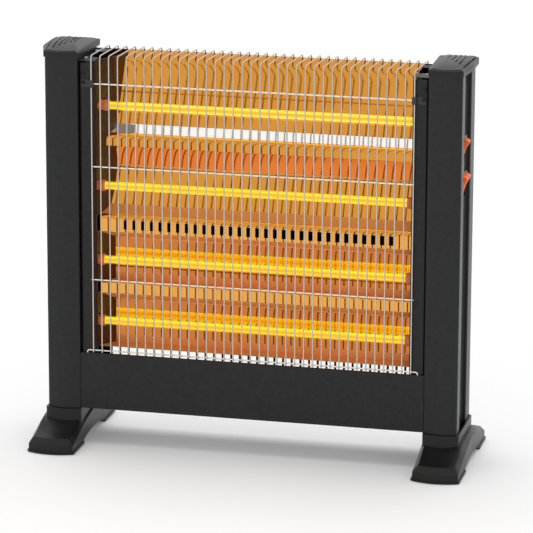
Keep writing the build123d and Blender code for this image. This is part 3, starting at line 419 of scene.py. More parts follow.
half_turn = [math.pi * k / dent_points for k in range(dent_points + 1)]
for column_name, way in (("left_column", -1), ("right_column", 1)):
    column_line = rounded(column_plan(0.0, way), column_edge)
    column = finish_piece(column_name + "_shell",
                          made(prism, column_line, column_low.z, column_high.z, in_channel),
                          [housing_plastic, channel_plastic], "housing_plastic", [column_name])
    cut(column, made(prism, column_plan(column_wall, way), column_low.z - mm, column_high.z + mm))
    openings_mesh = bmesh.new()
    for dent_height, dent_up in dent_heights:
        cross_block(openings_mesh, (way * (channel_floor - dent_depth), way * (channel_floor + 2 * mm)),
                    [(dent_middle + dent_radius * math.cos(angle),
                      dent_height + dent_up * dent_radius * math.sin(angle)) for angle in half_turn])
    for housing in ("upper_switch_housing", "lower_switch_housing") if way > 0 else ():
        low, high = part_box(housing)
        box_shape(openings_mesh, (channel_floor - column_wall - mm, channel_floor + mm),
                  (low.y + switch_rim, high.y - switch_rim), (low.z + switch_rim, high.z - switch_rim))
    cut(column, openings_mesh)


# Feet
# Each foot is moulded in the same plastic: a bowed toe and heel with a ridge before each, sides that bevel
# into the top, a thin plinth round the bottom edge, an arch underneath, and a collar for the column.
foot_low, foot_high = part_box("right_foot")
plinth_out = 1.75 * mm
plinth_height = 2.6 * mm
plinth_points = 16
foot_inner = foot_low.x + plinth_out
foot_outer = foot_high.x - plinth_out
foot_floor = 0.6 * mm
foot_edge = 0.7 * mm
foot_edge_angle = 14.0
toe_half = 91.0 * mm
toe_bow = 6.0 * mm
toe_bevel_share = 0.05
arch_half = 46.0 * mm
arch_step = 2.0 * mm
arch_rise = 6.4 * mm
arch_half_points = 12
arch_overrun = 4.0 * mm
foot_inner_bevel = 6.0 * mm
foot_outer_bevel = 4.6 * mm
foot_columns = 12
collar_out = 2.8 * mm
collar_inner_out = 0.9 * mm
collar_corner = 2.4 * mm
collar_low = 14.0 * mm
collar_top = 44.0 * mm
socket_gap = 0.2 * mm
keenest_corner = 0.3

# From the toe to the middle: reach, height at the sides, height of the top, share of the toe's bow
foot_stations = [(91.0, 10.8, 10.8, 1.0), (83.5, 12.4, 17.8, 0.92), (76.0, 14.0, 19.3, 0.83),
                 (68.0, 16.2, 21.5, 0.73), (60.0, 18.4, 24.6, 0.6), (52.0, 20.6, 28.4, 0.43),
                 (45.0, 22.5, 30.6, 0.25), (34.0, 25.1, 31.6, 0.08), (20.0, 28.0, 32.2, 0.0),
                 (0.0, 31.0, 32.5, 0.0)]


def toe_line(x, share=1.0):
    """How far the toe's bow reaches beyond its corners at a place across the foot."""
    across = (x - (foot_inner + foot_outer) / 2) / ((foot_outer - foot_inner) / 2)
    return share * toe_bow * (1 - min(abs(across), 1.0) ** 2)


def close_strip(mesh, ring):
    """Close a ring whose second half runs back beside its first one with a strip of faces."""
    for k in range(len(ring) // 2 - 1):
        mesh.faces.new((ring[k], ring[k + 1], ring[-2 - k], ring[-1 - k]))


def foot_shape(mesh, way):
    """The foot as a solid block, without its plinth, arch and collar."""
    rings = []
    for end, stations in ((-1, foot_stations), (1, foot_stations[-2::-1])):
        for reach, side_height, top_height, bow_share in stations:
            narrow = toe_bevel_share if reach * mm >= toe_half else 1.0
            start, finish = foot_inner + narrow * foot_inner_bevel, foot_outer - narrow * foot_outer_bevel
            tops = [start + (finish - start) * k / foot_columns for k in range(foot_columns + 1)]
            plan = [(x, end * (reach * mm + toe_line(x, bow_share))) for x in (foot_inner, *tops, foot_outer)]
            heights = [side_height] + [top_height] * len(tops) + [side_height]
            upper = [mesh.verts.new((way * x, y, z * mm)) for (x, y), z in zip(plan, heights)]
            lower = [mesh.verts.new((way * x, y, foot_floor)) for x, y in plan]
            rings.append(upper + lower[::-1])
    for first, second in zip(rings, rings[1:]):
        band(mesh, first, second)
    close_strip(mesh, rings[0])
    close_strip(mesh, rings[-1])


def plinth_line(way):
    """The plan of the thin plinth round the foot's bottom edge."""
    across = [foot_inner + (foot_outer - foot_inner) * k / plinth_points for k in range(plinth_points + 1)]
    heel = ([(foot_inner - plinth_out, toe_half)] + [(x, toe_half + toe_line(x) + plinth_out) for x in across]
            + [(foot_outer + plinth_out, toe_half)])
    return on_side([(x, -y) for x, y in heel] + heel[::-1], way)


def beside(points, distance, closed=True):
    """The line of points moved over by a distance to the right of its way."""
    line = [Vector(p) for p in points]
    moved = []
    for index, here in enumerate(line):
        before, after = here - line[index - 1], line[(index + 1) % len(line)] - here
        if not closed and here is line[0]:
            before = after
        if not closed and here is line[-1]:
            after = before
        before, after = before.normalized(), after.normalized()
        right = Vector((before.y + after.y, -before.x - after.x)).normalized()
        moved.append(here + right * distance / max(right.dot(Vector((before.y, -before.x))), keenest_corner))
    return moved


arch_shares = [k / arch_half_points - 1 for k in range(2 * arch_half_points + 1)]
arch_curve = [(arch_half * share, foot_floor + arch_step + arch_rise * (1 - share ** 2))
              for share in arch_shares]
plain_corners = [(bay, column_front_line), (side, column_front_line), (side, column_rear_line),
                 (bay, column_rear_line)]
plain_outline = []
for index, (height, count) in enumerate(((-column_bow, bow_points), (0.0, 2)) * 2):
    plain_outline += bow(plain_corners[index], plain_corners[(index + 1) % 4], height, count)
collar_line = [(max(p.x, bay - collar_inner_out), p.y) for p in beside(plain_outline, collar_out)]

for foot_name, way in (("left_foot", -1), ("right_foot", 1)):
    foot = finish_piece(foot_name + "_moulding", made(foot_shape, way), [housing_plastic], "housing_plastic",
                        [foot_name])
    cut(foot, made(prism, plinth_line(way), foot_floor, foot_floor + plinth_height), "UNION")
    cut(foot, made(cross_block, (way * (foot_inner - arch_overrun), way * (foot_outer + arch_overrun)),
                   [(-arch_half, -mm)] + arch_curve + [(arch_half, -mm)]))
    cut(foot, made(prism, rounded(on_side(collar_line, way), collar_corner), collar_low, collar_top), "UNION")
    cut(foot, made(prism, on_side(beside(plain_outline, socket_gap), way), column_low.z, collar_top + mm))
    soften(foot, foot_edge, angle=foot_edge_angle)


# Foot pads
# Four pads of soft black rubber, let into the toe and the heel of each foot.
pad_corner = 3.0 * mm
pad_edge = 0.3 * mm
weld_reach = 0.002 * mm
place_digits = 5
pad_rubber = coated("pad_rubber", (0.010, 0.010, 0.011), (0.02, 0.02, 0.02), roughness=0.85, gloss=0.2,
                    grain_depth=0.08 * mm, grain_scale=1500.0)


def solids_of(node):
    """The lowest and highest corner of each separate solid in a CAD node, in the order of their places."""
    mesh = bmesh.new()
    mesh.from_mesh(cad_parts[node].data)
    bmesh.ops.remove_doubles(mesh, verts=mesh.verts, dist=weld_reach)
    waiting = set(mesh.verts)
    boxes = []
    while waiting:
        found = [waiting.pop()]
        for vertex in found:
            linked = {edge.other_vert(vertex) for edge in vertex.link_edges} & waiting
            waiting -= linked
            found += linked
        boxes.append([Vector(limit(vertex.co[axis] for vertex in found) for axis in range(3))
                      for limit in (min, max)])
    mesh.free()
    return sorted(boxes, key=lambda pair: tuple(round(v, place_digits) for v in pair[0]))


pads_mesh = bmesh.new()
for low, high in solids_of("foot_pads"):
    pad_line = [(low.x, low.y), (high.x, low.y), (high.x, high.y), (low.x, high.y)]
    prism(pads_mesh, rounded(pad_line, pad_corner, steps=6), low.z, high.z)
pads = finish_piece("rubber_pads", pads_mesh, [pad_rubber], "pad_rubber", ["foot_pads"])
soften(pads, pad_edge, segments=2)


# Column caps
# A moulded cap closes each column. Its skirt bevels into the top, and the outer two thirds of the top swell
# into a pad with five curved finger grooves, the outermost along its edge. A curved seam parts the pad from
# the plain inner part. The floors of the grooves are painted darker and duller, as painted shade.
cap_seat = column_high.z
cap_edge_top = cap_seat + 7.5 * mm
cap_front = -43.0 * mm
cap_rear = 46.0 * mm
cap_rear_bow = 2.0 * mm
cap_inner_rear = bay - 3.0 * mm
cap_outer_out = 0.5 * mm
cap_notch = 3.0 * mm
cap_notch_end = bay + 8.0 * mm
cap_swell = {-1: 10.5 * mm, 1: 3.0 * mm}
swell_reach = 0.65
swell_power = 1.4
cap_corner = {-1: 22.0 * mm, 1: 6.0 * mm}
cap_bevel = 1.0 * mm
cap_skirt = (0.35, cap_edge_top - 0.25 * mm), (1.0, cap_edge_top - cap_bevel), (1.0, cap_seat)
cap_cells = 96, 150
cap_sharp = 50.0
pad_rise = 2.2 * mm
pad_end_share = 0.55
pad_slope = 1.3 * mm
pad_rim = 1.6 * mm, 3.4 * mm
dome_rise = 2.0 * mm
dome_crest = 0.50
dome_reach = 14.0 * mm
plain_rise = 0.5 * mm
plain_reach = 4.0 * mm
seam_start = -1.0
seam_lean = {-1: 34.0, 1: 6.5}
seam_depth = 0.5 * mm
seam_width = 0.5 * mm
seam_rim = 1.0 * mm, 2.5 * mm
groove_width = 1.7 * mm
groove_floor = 0.36 * groove_width
groove_depth = 1.6 * mm
groove_sag = 0.8
groove_end = 40.0
groove_runout = 1.5 * mm, 2.0 * mm

# Each groove: how far across it is at the front and at the rear, and where it starts
groove_places = {-1: [(249.0, 256.0, -42.0), (242.6, 247.6, -34.0), (237.8, 241.0, -26.0),
                      (233.4, 235.6, -19.0), (229.2, 230.2, -8.0)],
                 1: [(247.6, 250.6, -33.0), (240.8, 240.2, -20.0), (234.9, 234.5, -12.0),
                     (228.8, 228.8, -1.5), (222.3, 222.5, 6.0)]}


def ease(value, start, end):
    """A smooth step from none at start to one at end."""
    t = min(max((value - start) / (end - start), 0.0), 1.0)
    return t * t * (3 - 2 * t)


def cap_place(across, along, way):
    """The plan point of the cap at shares of its width and length, and its length there."""
    inner_x = bay + (cap_inner_rear - bay) * along
    swell = math.sin(min(along / swell_reach, 1.0) * math.pi / 2) ** swell_power
    outer_x = side + cap_outer_out + cap_swell[way] * swell
    x = inner_x + (outer_x - inner_x) * across
    arched = max(1 - ((x - column_middle) / (side - column_middle)) ** 2, 0.0)
    front_y = cap_front - column_bow * arched
    rear_y = cap_rear + cap_rear_bow * arched - cap_notch * (1 - ease(x, cap_inner_rear, cap_notch_end))
    corner = cap_corner[way]
    rounding = max(x - outer_x + corner, 0.0)
    rear_y -= corner - math.sqrt(max(corner ** 2 - rounding ** 2, 0.0))
    return x, front_y + (rear_y - front_y) * along, rear_y - front_y


def groove_line(y, front_x, rear_x, start):
    """How far across the middle of a groove lies at a place along the cap."""
    share = min(max((y / mm - start) / (groove_end - start), 0.0), 1.0)
    return (front_x + (rear_x - front_x) * share + groove_sag * math.sin(math.pi * share)) * mm


def cap_height(x, y, to_edge, way):
    """Height of the cap's top above its bevelled edge."""
    share = (y - cap_front) / (cap_rear - cap_front)
    beside_seam = x - bay - (seam_start + seam_lean[way] * share) * mm
    swell = 1 - min(abs(share - dome_crest) / dome_crest, 1.0) ** 2
    pad = ease(beside_seam, 0.0, pad_slope) * ease(to_edge, *pad_rim)
    height = pad * pad_rise * (pad_end_share + (1 - pad_end_share) * swell)
    height += pad * dome_rise * swell * ease(to_edge, 0.0, dome_reach)
    height += (1 - pad) * plain_rise * ease(to_edge, 0.0, plain_reach)
    height -= seam_depth * math.exp(-(beside_seam / seam_width) ** 2) * ease(to_edge, *seam_rim)
    for groove in groove_places[way]:
        depth = groove_depth * math.exp(-((x - groove_line(y, *groove)) / (0.5 * groove_width)) ** 2)
        start = groove[2] * mm
        height -= depth * ease(y, start - groove_runout[0], start + groove_runout[1])
    return height


def in_groove(x, y, way):
    """Whether a place on the pad lies at the bottom of a groove."""
    return any(abs(x - groove_line(y, *groove)) < groove_floor and y > groove[2] * mm
               for groove in groove_places[way])


def cap_shape(mesh, way):
    """The cap as a closed skin: its moulded top over a bevelled skirt."""
    columns, rows = cap_cells
    grid = []
    for row in range(rows + 1):
        along = row / rows
        width = cap_place(1.0, along, way)[0] - cap_place(0.0, along, way)[0]
        grid.append([])
        for across in (cell / columns for cell in range(columns + 1)):
            x, y, length = cap_place(across, along, way)
            to_edge = min(across * width, (1 - across) * width, along * length, (1 - along) * length)
            grid[-1].append(mesh.verts.new((way * x, y, cap_edge_top + cap_height(x, y, to_edge, way))))
    for first, second in zip(grid, grid[1:]):
        for k in range(columns):
            face = mesh.faces.new((first[k], first[k + 1], second[k + 1], second[k]))
            middle = face.calc_center_median()
            # Faces at the bottom of a groove take the second material: painted shade in the grooves.
            face.material_index = int(in_groove(way * middle.x, middle.y, way))
    rim = grid[0] + [line[-1] for line in grid[1:-1]] + grid[-1][::-1] + [line[0] for line in grid[-2:0:-1]]
    centre = Vector((way * column_middle, 0.0))
    previous = rim
    for inset, height in cap_skirt:
        outwards = [(vertex.co.xy - centre).normalized() * cap_bevel * inset for vertex in rim]
        ring = [mesh.verts.new((vertex.co.x + out.x, vertex.co.y + out.y, height))
                for vertex, out in zip(rim, outwards)]
        band(mesh, previous, ring)
        previous = ring
    mesh.faces.new(previous)


# Groove floors: darker and duller than the cap, painted shade in the grooves.
groove_shade_plastic = coated("groove_shade_plastic", (0.0040, 0.0040, 0.0041), charcoal_rubbed, roughness=0.75,
                        gloss=0.06, grain_depth=0.04 * mm)
for cap_name, way in (("left_cap", -1), ("right_cap", 1)):
    finish_piece(cap_name + "_moulding", made(cap_shape, way), [housing_plastic, groove_shade_plastic],
                 "housing_plastic", [cap_name], sharp=cap_sharp)


# Front panel
# The lower front panel is folded from painted sheet steel: back under itself at the bottom, and over at the
# top towards the guard. Four screws hold it to the tray.
painted_black = 0.0092, 0.0092, 0.0094
painted_steel = coated("painted_steel", painted_black, charcoal_rubbed, roughness=0.42, gloss=0.28,
                       grain_depth=0.035 * mm, grain_scale=3200.0)
panel_low, panel_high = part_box("front_panel")
sheet = 0.8 * mm
panel_fold = 1.3 * mm
panel_foot = 18.0 * mm
panel_lip_drop = 3.1 * mm
panel_lip_back = 1.55 * mm
straight_turn = 0.02
fillet_share = 0.45
frame_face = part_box("right_side_frame")[0].y


def filleted(points, radius, steps=5):
    """The open line of points with an arc at each inner one."""
    line = [Vector(points[0])]
    for before, here, after in zip(points, points[1:], points[2:]):
        here = Vector(here)
        back, on = Vector(before) - here, Vector(after) - here
        turn = math.pi - back.angle(on)
        reach = min(radius * math.tan(turn / 2), fillet_share * back.length, fillet_share * on.length)
        line += (drawn_to(here + back.normalized() * reach, here, here + on.normalized() * reach, steps)
                 if turn > straight_turn else [here])
    return line + [Vector(points[-1])]


def folded_sheet(mesh, line, thickness, point_at, ends, finishes=None):
    """A sheet whose section is an open line, from one end to the other of each of its points."""
    section = line + beside(line, thickness, closed=False)[::-1]
    rings = [[mesh.verts.new(point_at(p, ends(p)[end])) for p in section] for end in (0, 1)]
    faces = band(mesh, *rings)
    for index, face in enumerate(faces if finishes else ()):
        face.material_index = finishes[max(min(index, len(faces) - 2 - index, len(line) - 2), 0)]
    for ring in rings:
        close_strip(mesh, ring)


def section_point(p, x):
    """A section's (y, z) point at a place across the heater."""
    return x, p[0], p[1]


panel_line = filleted([(column_front_line + panel_foot, panel_low.z), (column_front_line, panel_low.z),
                       (column_front_line, panel_high.z - panel_lip_drop),
                       (column_front_line + panel_lip_back, panel_high.z), (frame_face, panel_high.z)],
                      panel_fold)
finish_piece("panel_sheet",
             made(folded_sheet, panel_line, sheet, section_point, lambda p: (panel_low.x, panel_high.x)),
             [painted_steel], "painted_steel", ["front_panel"])


# Bottom tray
# The slotted tray between the feet stays as it was cut, in the same paint.
def repaint(material, slot, *nodes):
    """Give CAD nodes a finish in place of their plain one."""
    for node in nodes:
        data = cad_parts[node].data
        data.materials.clear()
        data.materials.append(material)


repaint(painted_steel, "painted_steel", "bottom_tray")


# Side frames
# Beside the reflector stand two folded frames of painted steel: a flat strip to the front, with a return
# along its inner edge, a web against the column and a flange for the back cover. A bracket lies on each.
side_frame_low, side_frame_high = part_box("right_side_frame")
strip_edge = side_frame_low.x
frame_gap = 1.8 * mm
frame_fold = 1.2 * mm
frame_rear = side_frame_high.y
strip_return = 6.0 * mm
strip_bevel = 3.2 * mm, 2.6 * mm
web_bevel = 2.5 * mm, 3.0 * mm
cover_flange = 14.0 * mm
frame_section = [(strip_edge, frame_face + strip_return), (strip_edge, frame_face + strip_bevel[1]),
                 (strip_edge + strip_bevel[0], frame_face), (bay - web_bevel[0], frame_face),
                 (bay, frame_face + web_bevel[1]), (bay, frame_rear), (bay - cover_flange, frame_rear)]


def plan_point(p, z):
    """A plan's (x, y) point at a height."""
    return p[0], p[1], z


for frame_name, way in (("left_side_frame", -1), ("right_side_frame", 1)):
    frame_line = filleted([(way * x, y) for x, y in frame_section], frame_fold)
    finish_piece(frame_name + "_sheet",
                 made(folded_sheet, frame_line, -way * sheet, plan_point,
                      lambda p: (side_frame_low.z, side_frame_high.z - frame_gap)),
                 [painted_steel], "painted_steel", [frame_name])

repaint(painted_steel, "painted_steel", "left_top_bracket", "right_top_bracket")


# Screws
# Small pan-head screws with a cross recess. Those of the front, the panel and the back cover are blackened,
# and the others are zinc plated.
shank_radius = 1.5 * mm
tip_radius = 0.5 * mm
tip_length = 1.2 * mm
head_height = 1.4 * mm
head_profile = [(1.0, 0.0), (1.0, 0.35), (0.94, 0.62), (0.80, 0.83), (0.55, 0.96), (0.30, 1.0)]
recess_span = 0.45, 1.3
recess_arm = 0.62
recess_half_width = 0.15
screw_sides = 20


def metal(name, dark, bright, roughness, grain_scale, blotch_scale, grain_depth):
    """Bare or plated metal whose tone and shine vary with a blotch."""
    material, tree, shader = new_material(name)
    grain = place_group(tree, grain_tree, Grain_Scale=grain_scale, Blotch_Scale=blotch_scale)
    feed(tree, shader, {"Base Color": blend_colours(tree, grain["Blotch"], dark, bright),
                        "Roughness": spread(tree, grain["Blotch"], *roughness), "Metallic": 1.0})
    raise_bumps(tree, shader, grain["Height"], grain_depth)
    return material


screw_black = coated("screw_black", (0.010, 0.010, 0.010), (0.035, 0.035, 0.035), roughness=0.34, gloss=0.3,
                     grain_depth=0.01 * mm, grain_scale=1500.0)
screw_zinc = metal("screw_zinc", (0.42, 0.42, 0.40), (0.62, 0.62, 0.60), roughness=(0.24, 0.42),
                   grain_scale=900.0, blotch_scale=300.0, grain_depth=0.01 * mm)


def lathe(mesh, profile, place, turn, sides, joined=False):
    """A turned shape: (radius, height) pairs round an axis that starts at a place and points along a turn."""
    angles = [2 * math.pi * index / sides for index in range(sides)]
    skin(mesh, [[mesh.verts.new(Vector(place) + turn @ Vector((radius * math.cos(angle),
                                                               radius * math.sin(angle), height)))
                 for angle in angles] for radius, height in profile], joined)


def screws(name, node, material, way):
    """The screws of a CAD node with cross recesses in their domed heads; way is from tip to head."""
    axis = max(range(3), key=lambda index: abs(way[index]))
    turn = Vector(way).to_track_quat("Z", "Y").to_matrix()
    mesh, recesses = bmesh.new(), bmesh.new()
    for low, high in solids_of(node):
        radius = (high - low)[(axis + 1) % 3] / 2
        tip, top = (low[axis], high[axis])[::way[axis]]
        start = (low + high) / 2
        start[axis] = top - way[axis] * head_height
        shank = abs(start[axis] - tip)
        lathe(mesh, [(tip_radius, -shank), (shank_radius, -shank + tip_length), (shank_radius, 0.0)]
              + [(share * radius, height * head_height) for share, height in head_profile],
              start, turn, screw_sides)
        arm, half = recess_arm * radius, recess_half_width * radius
        cross = [(arm, -half), (arm, half), (half, half), (half, arm), (-half, arm), (-half, half),
                 (-arm, half), (-arm, -half), (-half, -half), (-half, -arm), (half, -arm), (half, -half)]
        skin(recesses, [[recesses.verts.new(start + turn @ Vector((x, y, height * head_height)))
                         for x, y in cross] for height in recess_span])
    cut(finish_piece(name, mesh, [material], "screw_steel", [node]), recesses)


screws("strip_screws", "side_frame_screws", screw_black, (0, -1, 0))
screws("clip_screws", "guard_clip_screws", screw_black, (0, -1, 0))
screws("bracket_screws", "top_bracket_screws", screw_zinc, (0, 0, 1))
screws("panel_edge_screws", "panel_screws", screw_black, (0, 0, -1))
screws("cover_screws", "back_cover_screws", screw_black, (0, 1, 0))
screws("foot_fixing_screws", "foot_screws", screw_zinc, (0, 0, -1))
screws("tip_over_fixing_screws", "tip_over_screws", screw_zinc, (-1, 0, 0))


# Reflector
# One sheet of polished aluminium, folded into a trough behind each tube and tinted band by band: amber on the
# upper walls and the ridges, copper and gold behind the lower tubes, and a dulled copper in the folds and at
# the walls' feet. These tints are partly a heat tint and partly painted reflection, set for the colour each
# band's reflection shows. The top trough's floor is painted nearly white, a painted white reflection, and the
# fronts of the two lower ridges a lighter amber, as painted highlights.
reflector_low, reflector_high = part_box("reflector")
reflector_sheet = 0.6 * mm
reflector_sharp = 24.0
tube_boxes = [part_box(f"quartz_tube_{number}") for number in (1, 2, 3, 4)]
tube_axes = [((low.y + high.y) / 2, (low.z + high.z) / 2) for low, high in tube_boxes]
first, second, third, fourth = [axis_z for _, axis_z in tube_axes]
rim, lip = reflector_high.z, reflector_low.z
plate_clearance = 0.3 * mm
slot_count = 31
slot_span = 322.0 * mm
slot_width, slot_height = 5.3 * mm, 11.3 * mm
slot_shift = 4.2 * mm
slot_low = third + 38.6 * mm
# Partly heat tint and partly painted reflection; the near-white and lighter amber tints are painted light.
tints = {"amber": (0.700, 0.300, 0.046), "light_amber": (0.830, 0.390, 0.078),
         "copper": (0.610, 0.195, 0.044), "bright_copper": (0.800, 0.210, 0.036),
         "gold": (0.760, 0.430, 0.020), "bare": (0.980, 0.960, 0.930)}
dull_copper = 0.980, 0.420, 0.150
polish = 0.05
polish_gloss = 0.3
polish_spread = 0.6, 1.5
rolled_shade = 0.93
rolled_depth = 0.004 * mm
rolled_strength = 0.4

# Its section from the rim down, in millimetres: tint, height that the points are counted from, points
back = reflector_high.y / mm
upper_wall = 3.0
upper_ridge = -14.0
lower_wall = -3.5
ridge = -25.5
nose = drawn_to((upper_wall - 22.9, -33.1), (ridge, -35.7), (ridge, -39.7), 12)
reflector_folds = [
    ("amber", rim, (back, 0.0), (back - 13.5, -6.3)),
    ("amber", rim, *drawn_to((back - 14.0, -6.6), (21.8, -8.6), (20.6, -11.8), 8)),
    ("amber", first, (upper_wall, -25.6)),
    # The top trough's floor: nearly white, a painted white reflection.
    ("bare", first, *drawn_to((upper_wall - 0.6, -26.2), (-2.4, -29.8), (-8.6, -34.2), 8)),
    ("amber", first, *drawn_to((-8.8, -34.35), (upper_ridge, -38.4), (upper_ridge, -43.2), 14)),
    ("amber", second, (upper_ridge, 47.3)),
    ("copper", second, (upper_ridge + 0.5, 46.9), (upper_ridge + 10.0, 46.7)),
    ("bright_copper", second, *drawn_to((upper_ridge + 10.2, 46.2), (1.6, 34.6), (upper_wall, 21.4), 16)),
    ("dull", second, (upper_wall + 0.1, 19.8)),
    ("amber", second, (upper_wall - 0.1, 18.6), (upper_wall - 11.4, -24.6)),
    ("dull", second, *drawn_to((upper_wall - 12.0, -25.1), (upper_wall - 17.4, -29.6),
                               (upper_wall - 22.6, -32.9), 8)),
    ("dull", second, *nose[:3]),
    ("amber", second, *nose[3:]),
    # The front of the middle ridge: a lighter amber, painted highlights.
    ("light_amber", third, (ridge, 35.1)),
    ("dull", third, (ridge + 0.4, 34.6), (lower_wall - 0.4, 24.2), (lower_wall, 22.8)),
    ("copper", third, (lower_wall, 11.0)),
    ("gold", third, (lower_wall, -0.5)),
    ("copper", third, (lower_wall, -19.6)),
    ("dull", third, (lower_wall, -27.9), (ridge + 0.6, -28.0)),
    # The front of the lowest ridge: the lighter amber again, painted highlights.
    ("light_amber", third, (ridge, -28.6)),
    ("light_amber", fourth, (ridge, 35.0)),
    ("dull", fourth, (ridge + 0.4, 34.6), (lower_wall - 0.4, 23.4), (lower_wall, 22.0)),
    ("copper", fourth, (lower_wall, 11.0)),
    ("gold", fourth, (lower_wall, -0.5)),
    ("copper", lip, (lower_wall, 9.0)),
    ("dull", lip, (lower_wall, 0.5), (ridge, 0.0))]
reflector_line = [Vector((y * mm, height + z * mm)) for _, height, *points in reflector_folds
                  for y, z in points]
reflector_tints = [(*tints, "dull").index(tint) for tint, _, *points in reflector_folds for _ in points]

# Plans of the side plates that it ends at: front, bend and rear
plate_plans = {-1: ((-200.5 * mm, -37.0 * mm), (-176.0 * mm, -4.0 * mm), (-168.0 * mm, 28.0 * mm)),
               1: ((200.5 * mm, -37.0 * mm), (190.5 * mm, -4.0 * mm), (189.5 * mm, 28.0 * mm))}


def reflector_ends(y):
    """How far the reflector reaches to both sides at a depth, just short of the side plates."""
    ends = []
    for way, (front, bend, rear) in plate_plans.items():
        start, end = (front, bend) if y < bend[1] else (bend, rear)
        share = min((y - start[1]) / (end[1] - start[1]), 1.0)
        ends.append(start[0] + share * (end[0] - start[0]) - way * plate_clearance)
    return ends


# Rolling marks: faint lines along the sheet that blur its mirror and soften its colour
rolled_tree, rolled_place, rolled_in, rolled_out = effect_group(
    "rolling_marks", {"Across": 900.0, "Along": 4.0}, ("Lines", "Cloud"))
rolled_scale = add_node(rolled_tree, "CombineXYZ", {"X": rolled_in["Along"], "Y": rolled_in["Across"],
                                                    "Z": rolled_in["Across"]})
rolled_stretch = add_node(rolled_tree, "VectorMath", {0: rolled_place, 1: rolled_scale}, operation="MULTIPLY")
feed(rolled_tree, rolled_out, {"Lines": noise(rolled_tree, rolled_stretch, scale=1.0, detail=4.0),
                               "Cloud": noise(rolled_tree, rolled_place, scale=22.0, detail=3.0)})


def polished(name, colour, roughness, metallic=1.0):
    """Polished sheet metal with faint rolling marks; less metal where an oxide has dulled it."""
    material, tree, shader = new_material(name)
    marks = place_group(tree, rolled_tree)
    feed(tree, shader, {
        "Base Color": blend_colours(tree, marks["Cloud"], shaded(colour, rolled_shade), colour),
        "Roughness": spread(tree, marks["Lines"], *(roughness * share for share in polish_spread)),
        "Metallic": metallic, "Specular IOR Level": polish_gloss})
    raise_bumps(tree, shader, marks["Lines"], rolled_depth, rolled_strength)
    return material


tinted = [polished("polished_" + tint, colour, polish) for tint, colour in tints.items()]
tinted.append(polished("dulled_copper", dull_copper, roughness=0.45, metallic=0.25))
reflector = finish_piece("reflector_sheet",
                         made(folded_sheet, reflector_line, -reflector_sheet, section_point,
                              lambda p: reflector_ends(p[0]), reflector_tints[1:]),
                         tinted, "polished_amber", ["reflector"], sharp=reflector_sharp)
slot_tools = bmesh.new()
for index in range(slot_count):
    slot_x = (index / (slot_count - 1) - 0.5) * slot_span + slot_shift
    box_shape(slot_tools, (slot_x - slot_width / 2, slot_x + slot_width / 2),
              ((ridge - 1) * mm, (ridge + 2) * mm), (slot_low, slot_low + slot_height))
cut(reflector, slot_tools, sharp=reflector_sharp)


# Side plates
# The troughs are closed at both ends by darker polished plates, splayed outwards to the front and pierced for
# the tubes' ceramic ends. The right one stands further out than the left one.
plate_dark = polished("polished_dark", (0.150, 0.098, 0.056), roughness=0.30)
plate_low, plate_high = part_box("right_side_plate")
plate_fold = 1.2 * mm
ceramic_radius = 6.5 * mm
plate_hole = ceramic_radius + 1.2 * mm
plate_hole_span = 160.0 * mm, 209.0 * mm
plate_hole_sides = 32
to_right = Vector((1, 0, 0)).to_track_quat("Z", "Y").to_matrix()
to_side = {-1: Matrix.Rotation(math.pi, 3, "Z") @ to_right, 1: to_right}

for plate_name, way in (("left_side_plate", -1), ("right_side_plate", 1)):
    plate_rear_x = plate_plans[way][-1][0]
    plate_line = [(way * plate_high.x, plate_low.y), *plate_plans[way], (plate_rear_x, plate_high.y),
                  (way * plate_high.x, plate_high.y)]
    plate_mesh = made(folded_sheet, filleted(plate_line, plate_fold), way * reflector_sheet, plan_point,
                      lambda p: (plate_low.z, plate_high.z))
    plate = finish_piece(plate_name + "_sheet", plate_mesh, [plate_dark], "polished_dark", [plate_name])
    hole_tools = bmesh.new()
    for axis_y, axis_z in tube_axes:
        lathe(hole_tools, [(plate_hole, place) for place in plate_hole_span], (0.0, axis_y, axis_z),
              to_side[way], plate_hole_sides)
    cut(plate, hole_tools)


# Quartz tubes and heating coils
# Four clear quartz tubes. In each a coil of resistance wire glows yellow, wound closely over its whole
# length, with a straight lead to the ceramic at each end.
tube_reach = tube_boxes[0][1].x
tube_radius = 5.0 * mm
tube_wall = 1.0 * mm
tube_sides = 40
tube_end = [(tube_radius - tube_wall, 0.0), (tube_radius - 0.7 * mm, -0.1 * mm),
            (tube_radius - 0.3 * mm, 0.0), (tube_radius, 0.4 * mm)]
tube_profile = tube_end + [(radius, 2 * tube_reach - height) for radius, height in tube_end[::-1]]
coil_reach = tube_reach - 8.0 * mm
coil_radius = 3.35 * mm
coil_wire = 1.05 * mm
coil_turns = 176
coil_steps = 16
coil_sides = 6
coil_sharp = 80.0
lead_radius = 0.6 * mm
lead_sides = 8
lead_bend = (0.0, 1.0), (1.5 * mm, 0.4), (4.0 * mm, 0.0)
glow_yellow = 0.98, 0.94, 0.004
glow_orange = 1.0, 0.42, 0.020
glow_shade = 0.92
glow_middle = 0.62, 0.38
glow_strength = 0.82
quartz_glow = 0.14
quartz_bend = 1.25
height_across = "height_across"


def glow_by_height(tree, shader):
    """Yellow at the coil's top and bottom, and orange along its middle, with a slow change in the heat."""
    height = tree.nodes.new("ShaderNodeAttribute")
    height.attribute_name = height_across
    off_middle = add_node(tree, "Math", {0: height.outputs["Fac"]}, operation="ABSOLUTE")
    middle = add_node(tree, "MapRange", {"Value": off_middle, "From Min": glow_middle[0],
                                         "From Max": glow_middle[1]}, interpolation_type="SMOOTHSTEP")
    heat = place_group(tree, grain_tree, Grain_Scale=700.0, Blotch_Scale=40.0)
    warm = blend_colours(tree, heat["Blotch"], shaded(glow_yellow, glow_shade), glow_yellow)
    feed(tree, shader, {"Emission Color": blend_colours(tree, middle, warm, glow_orange)})


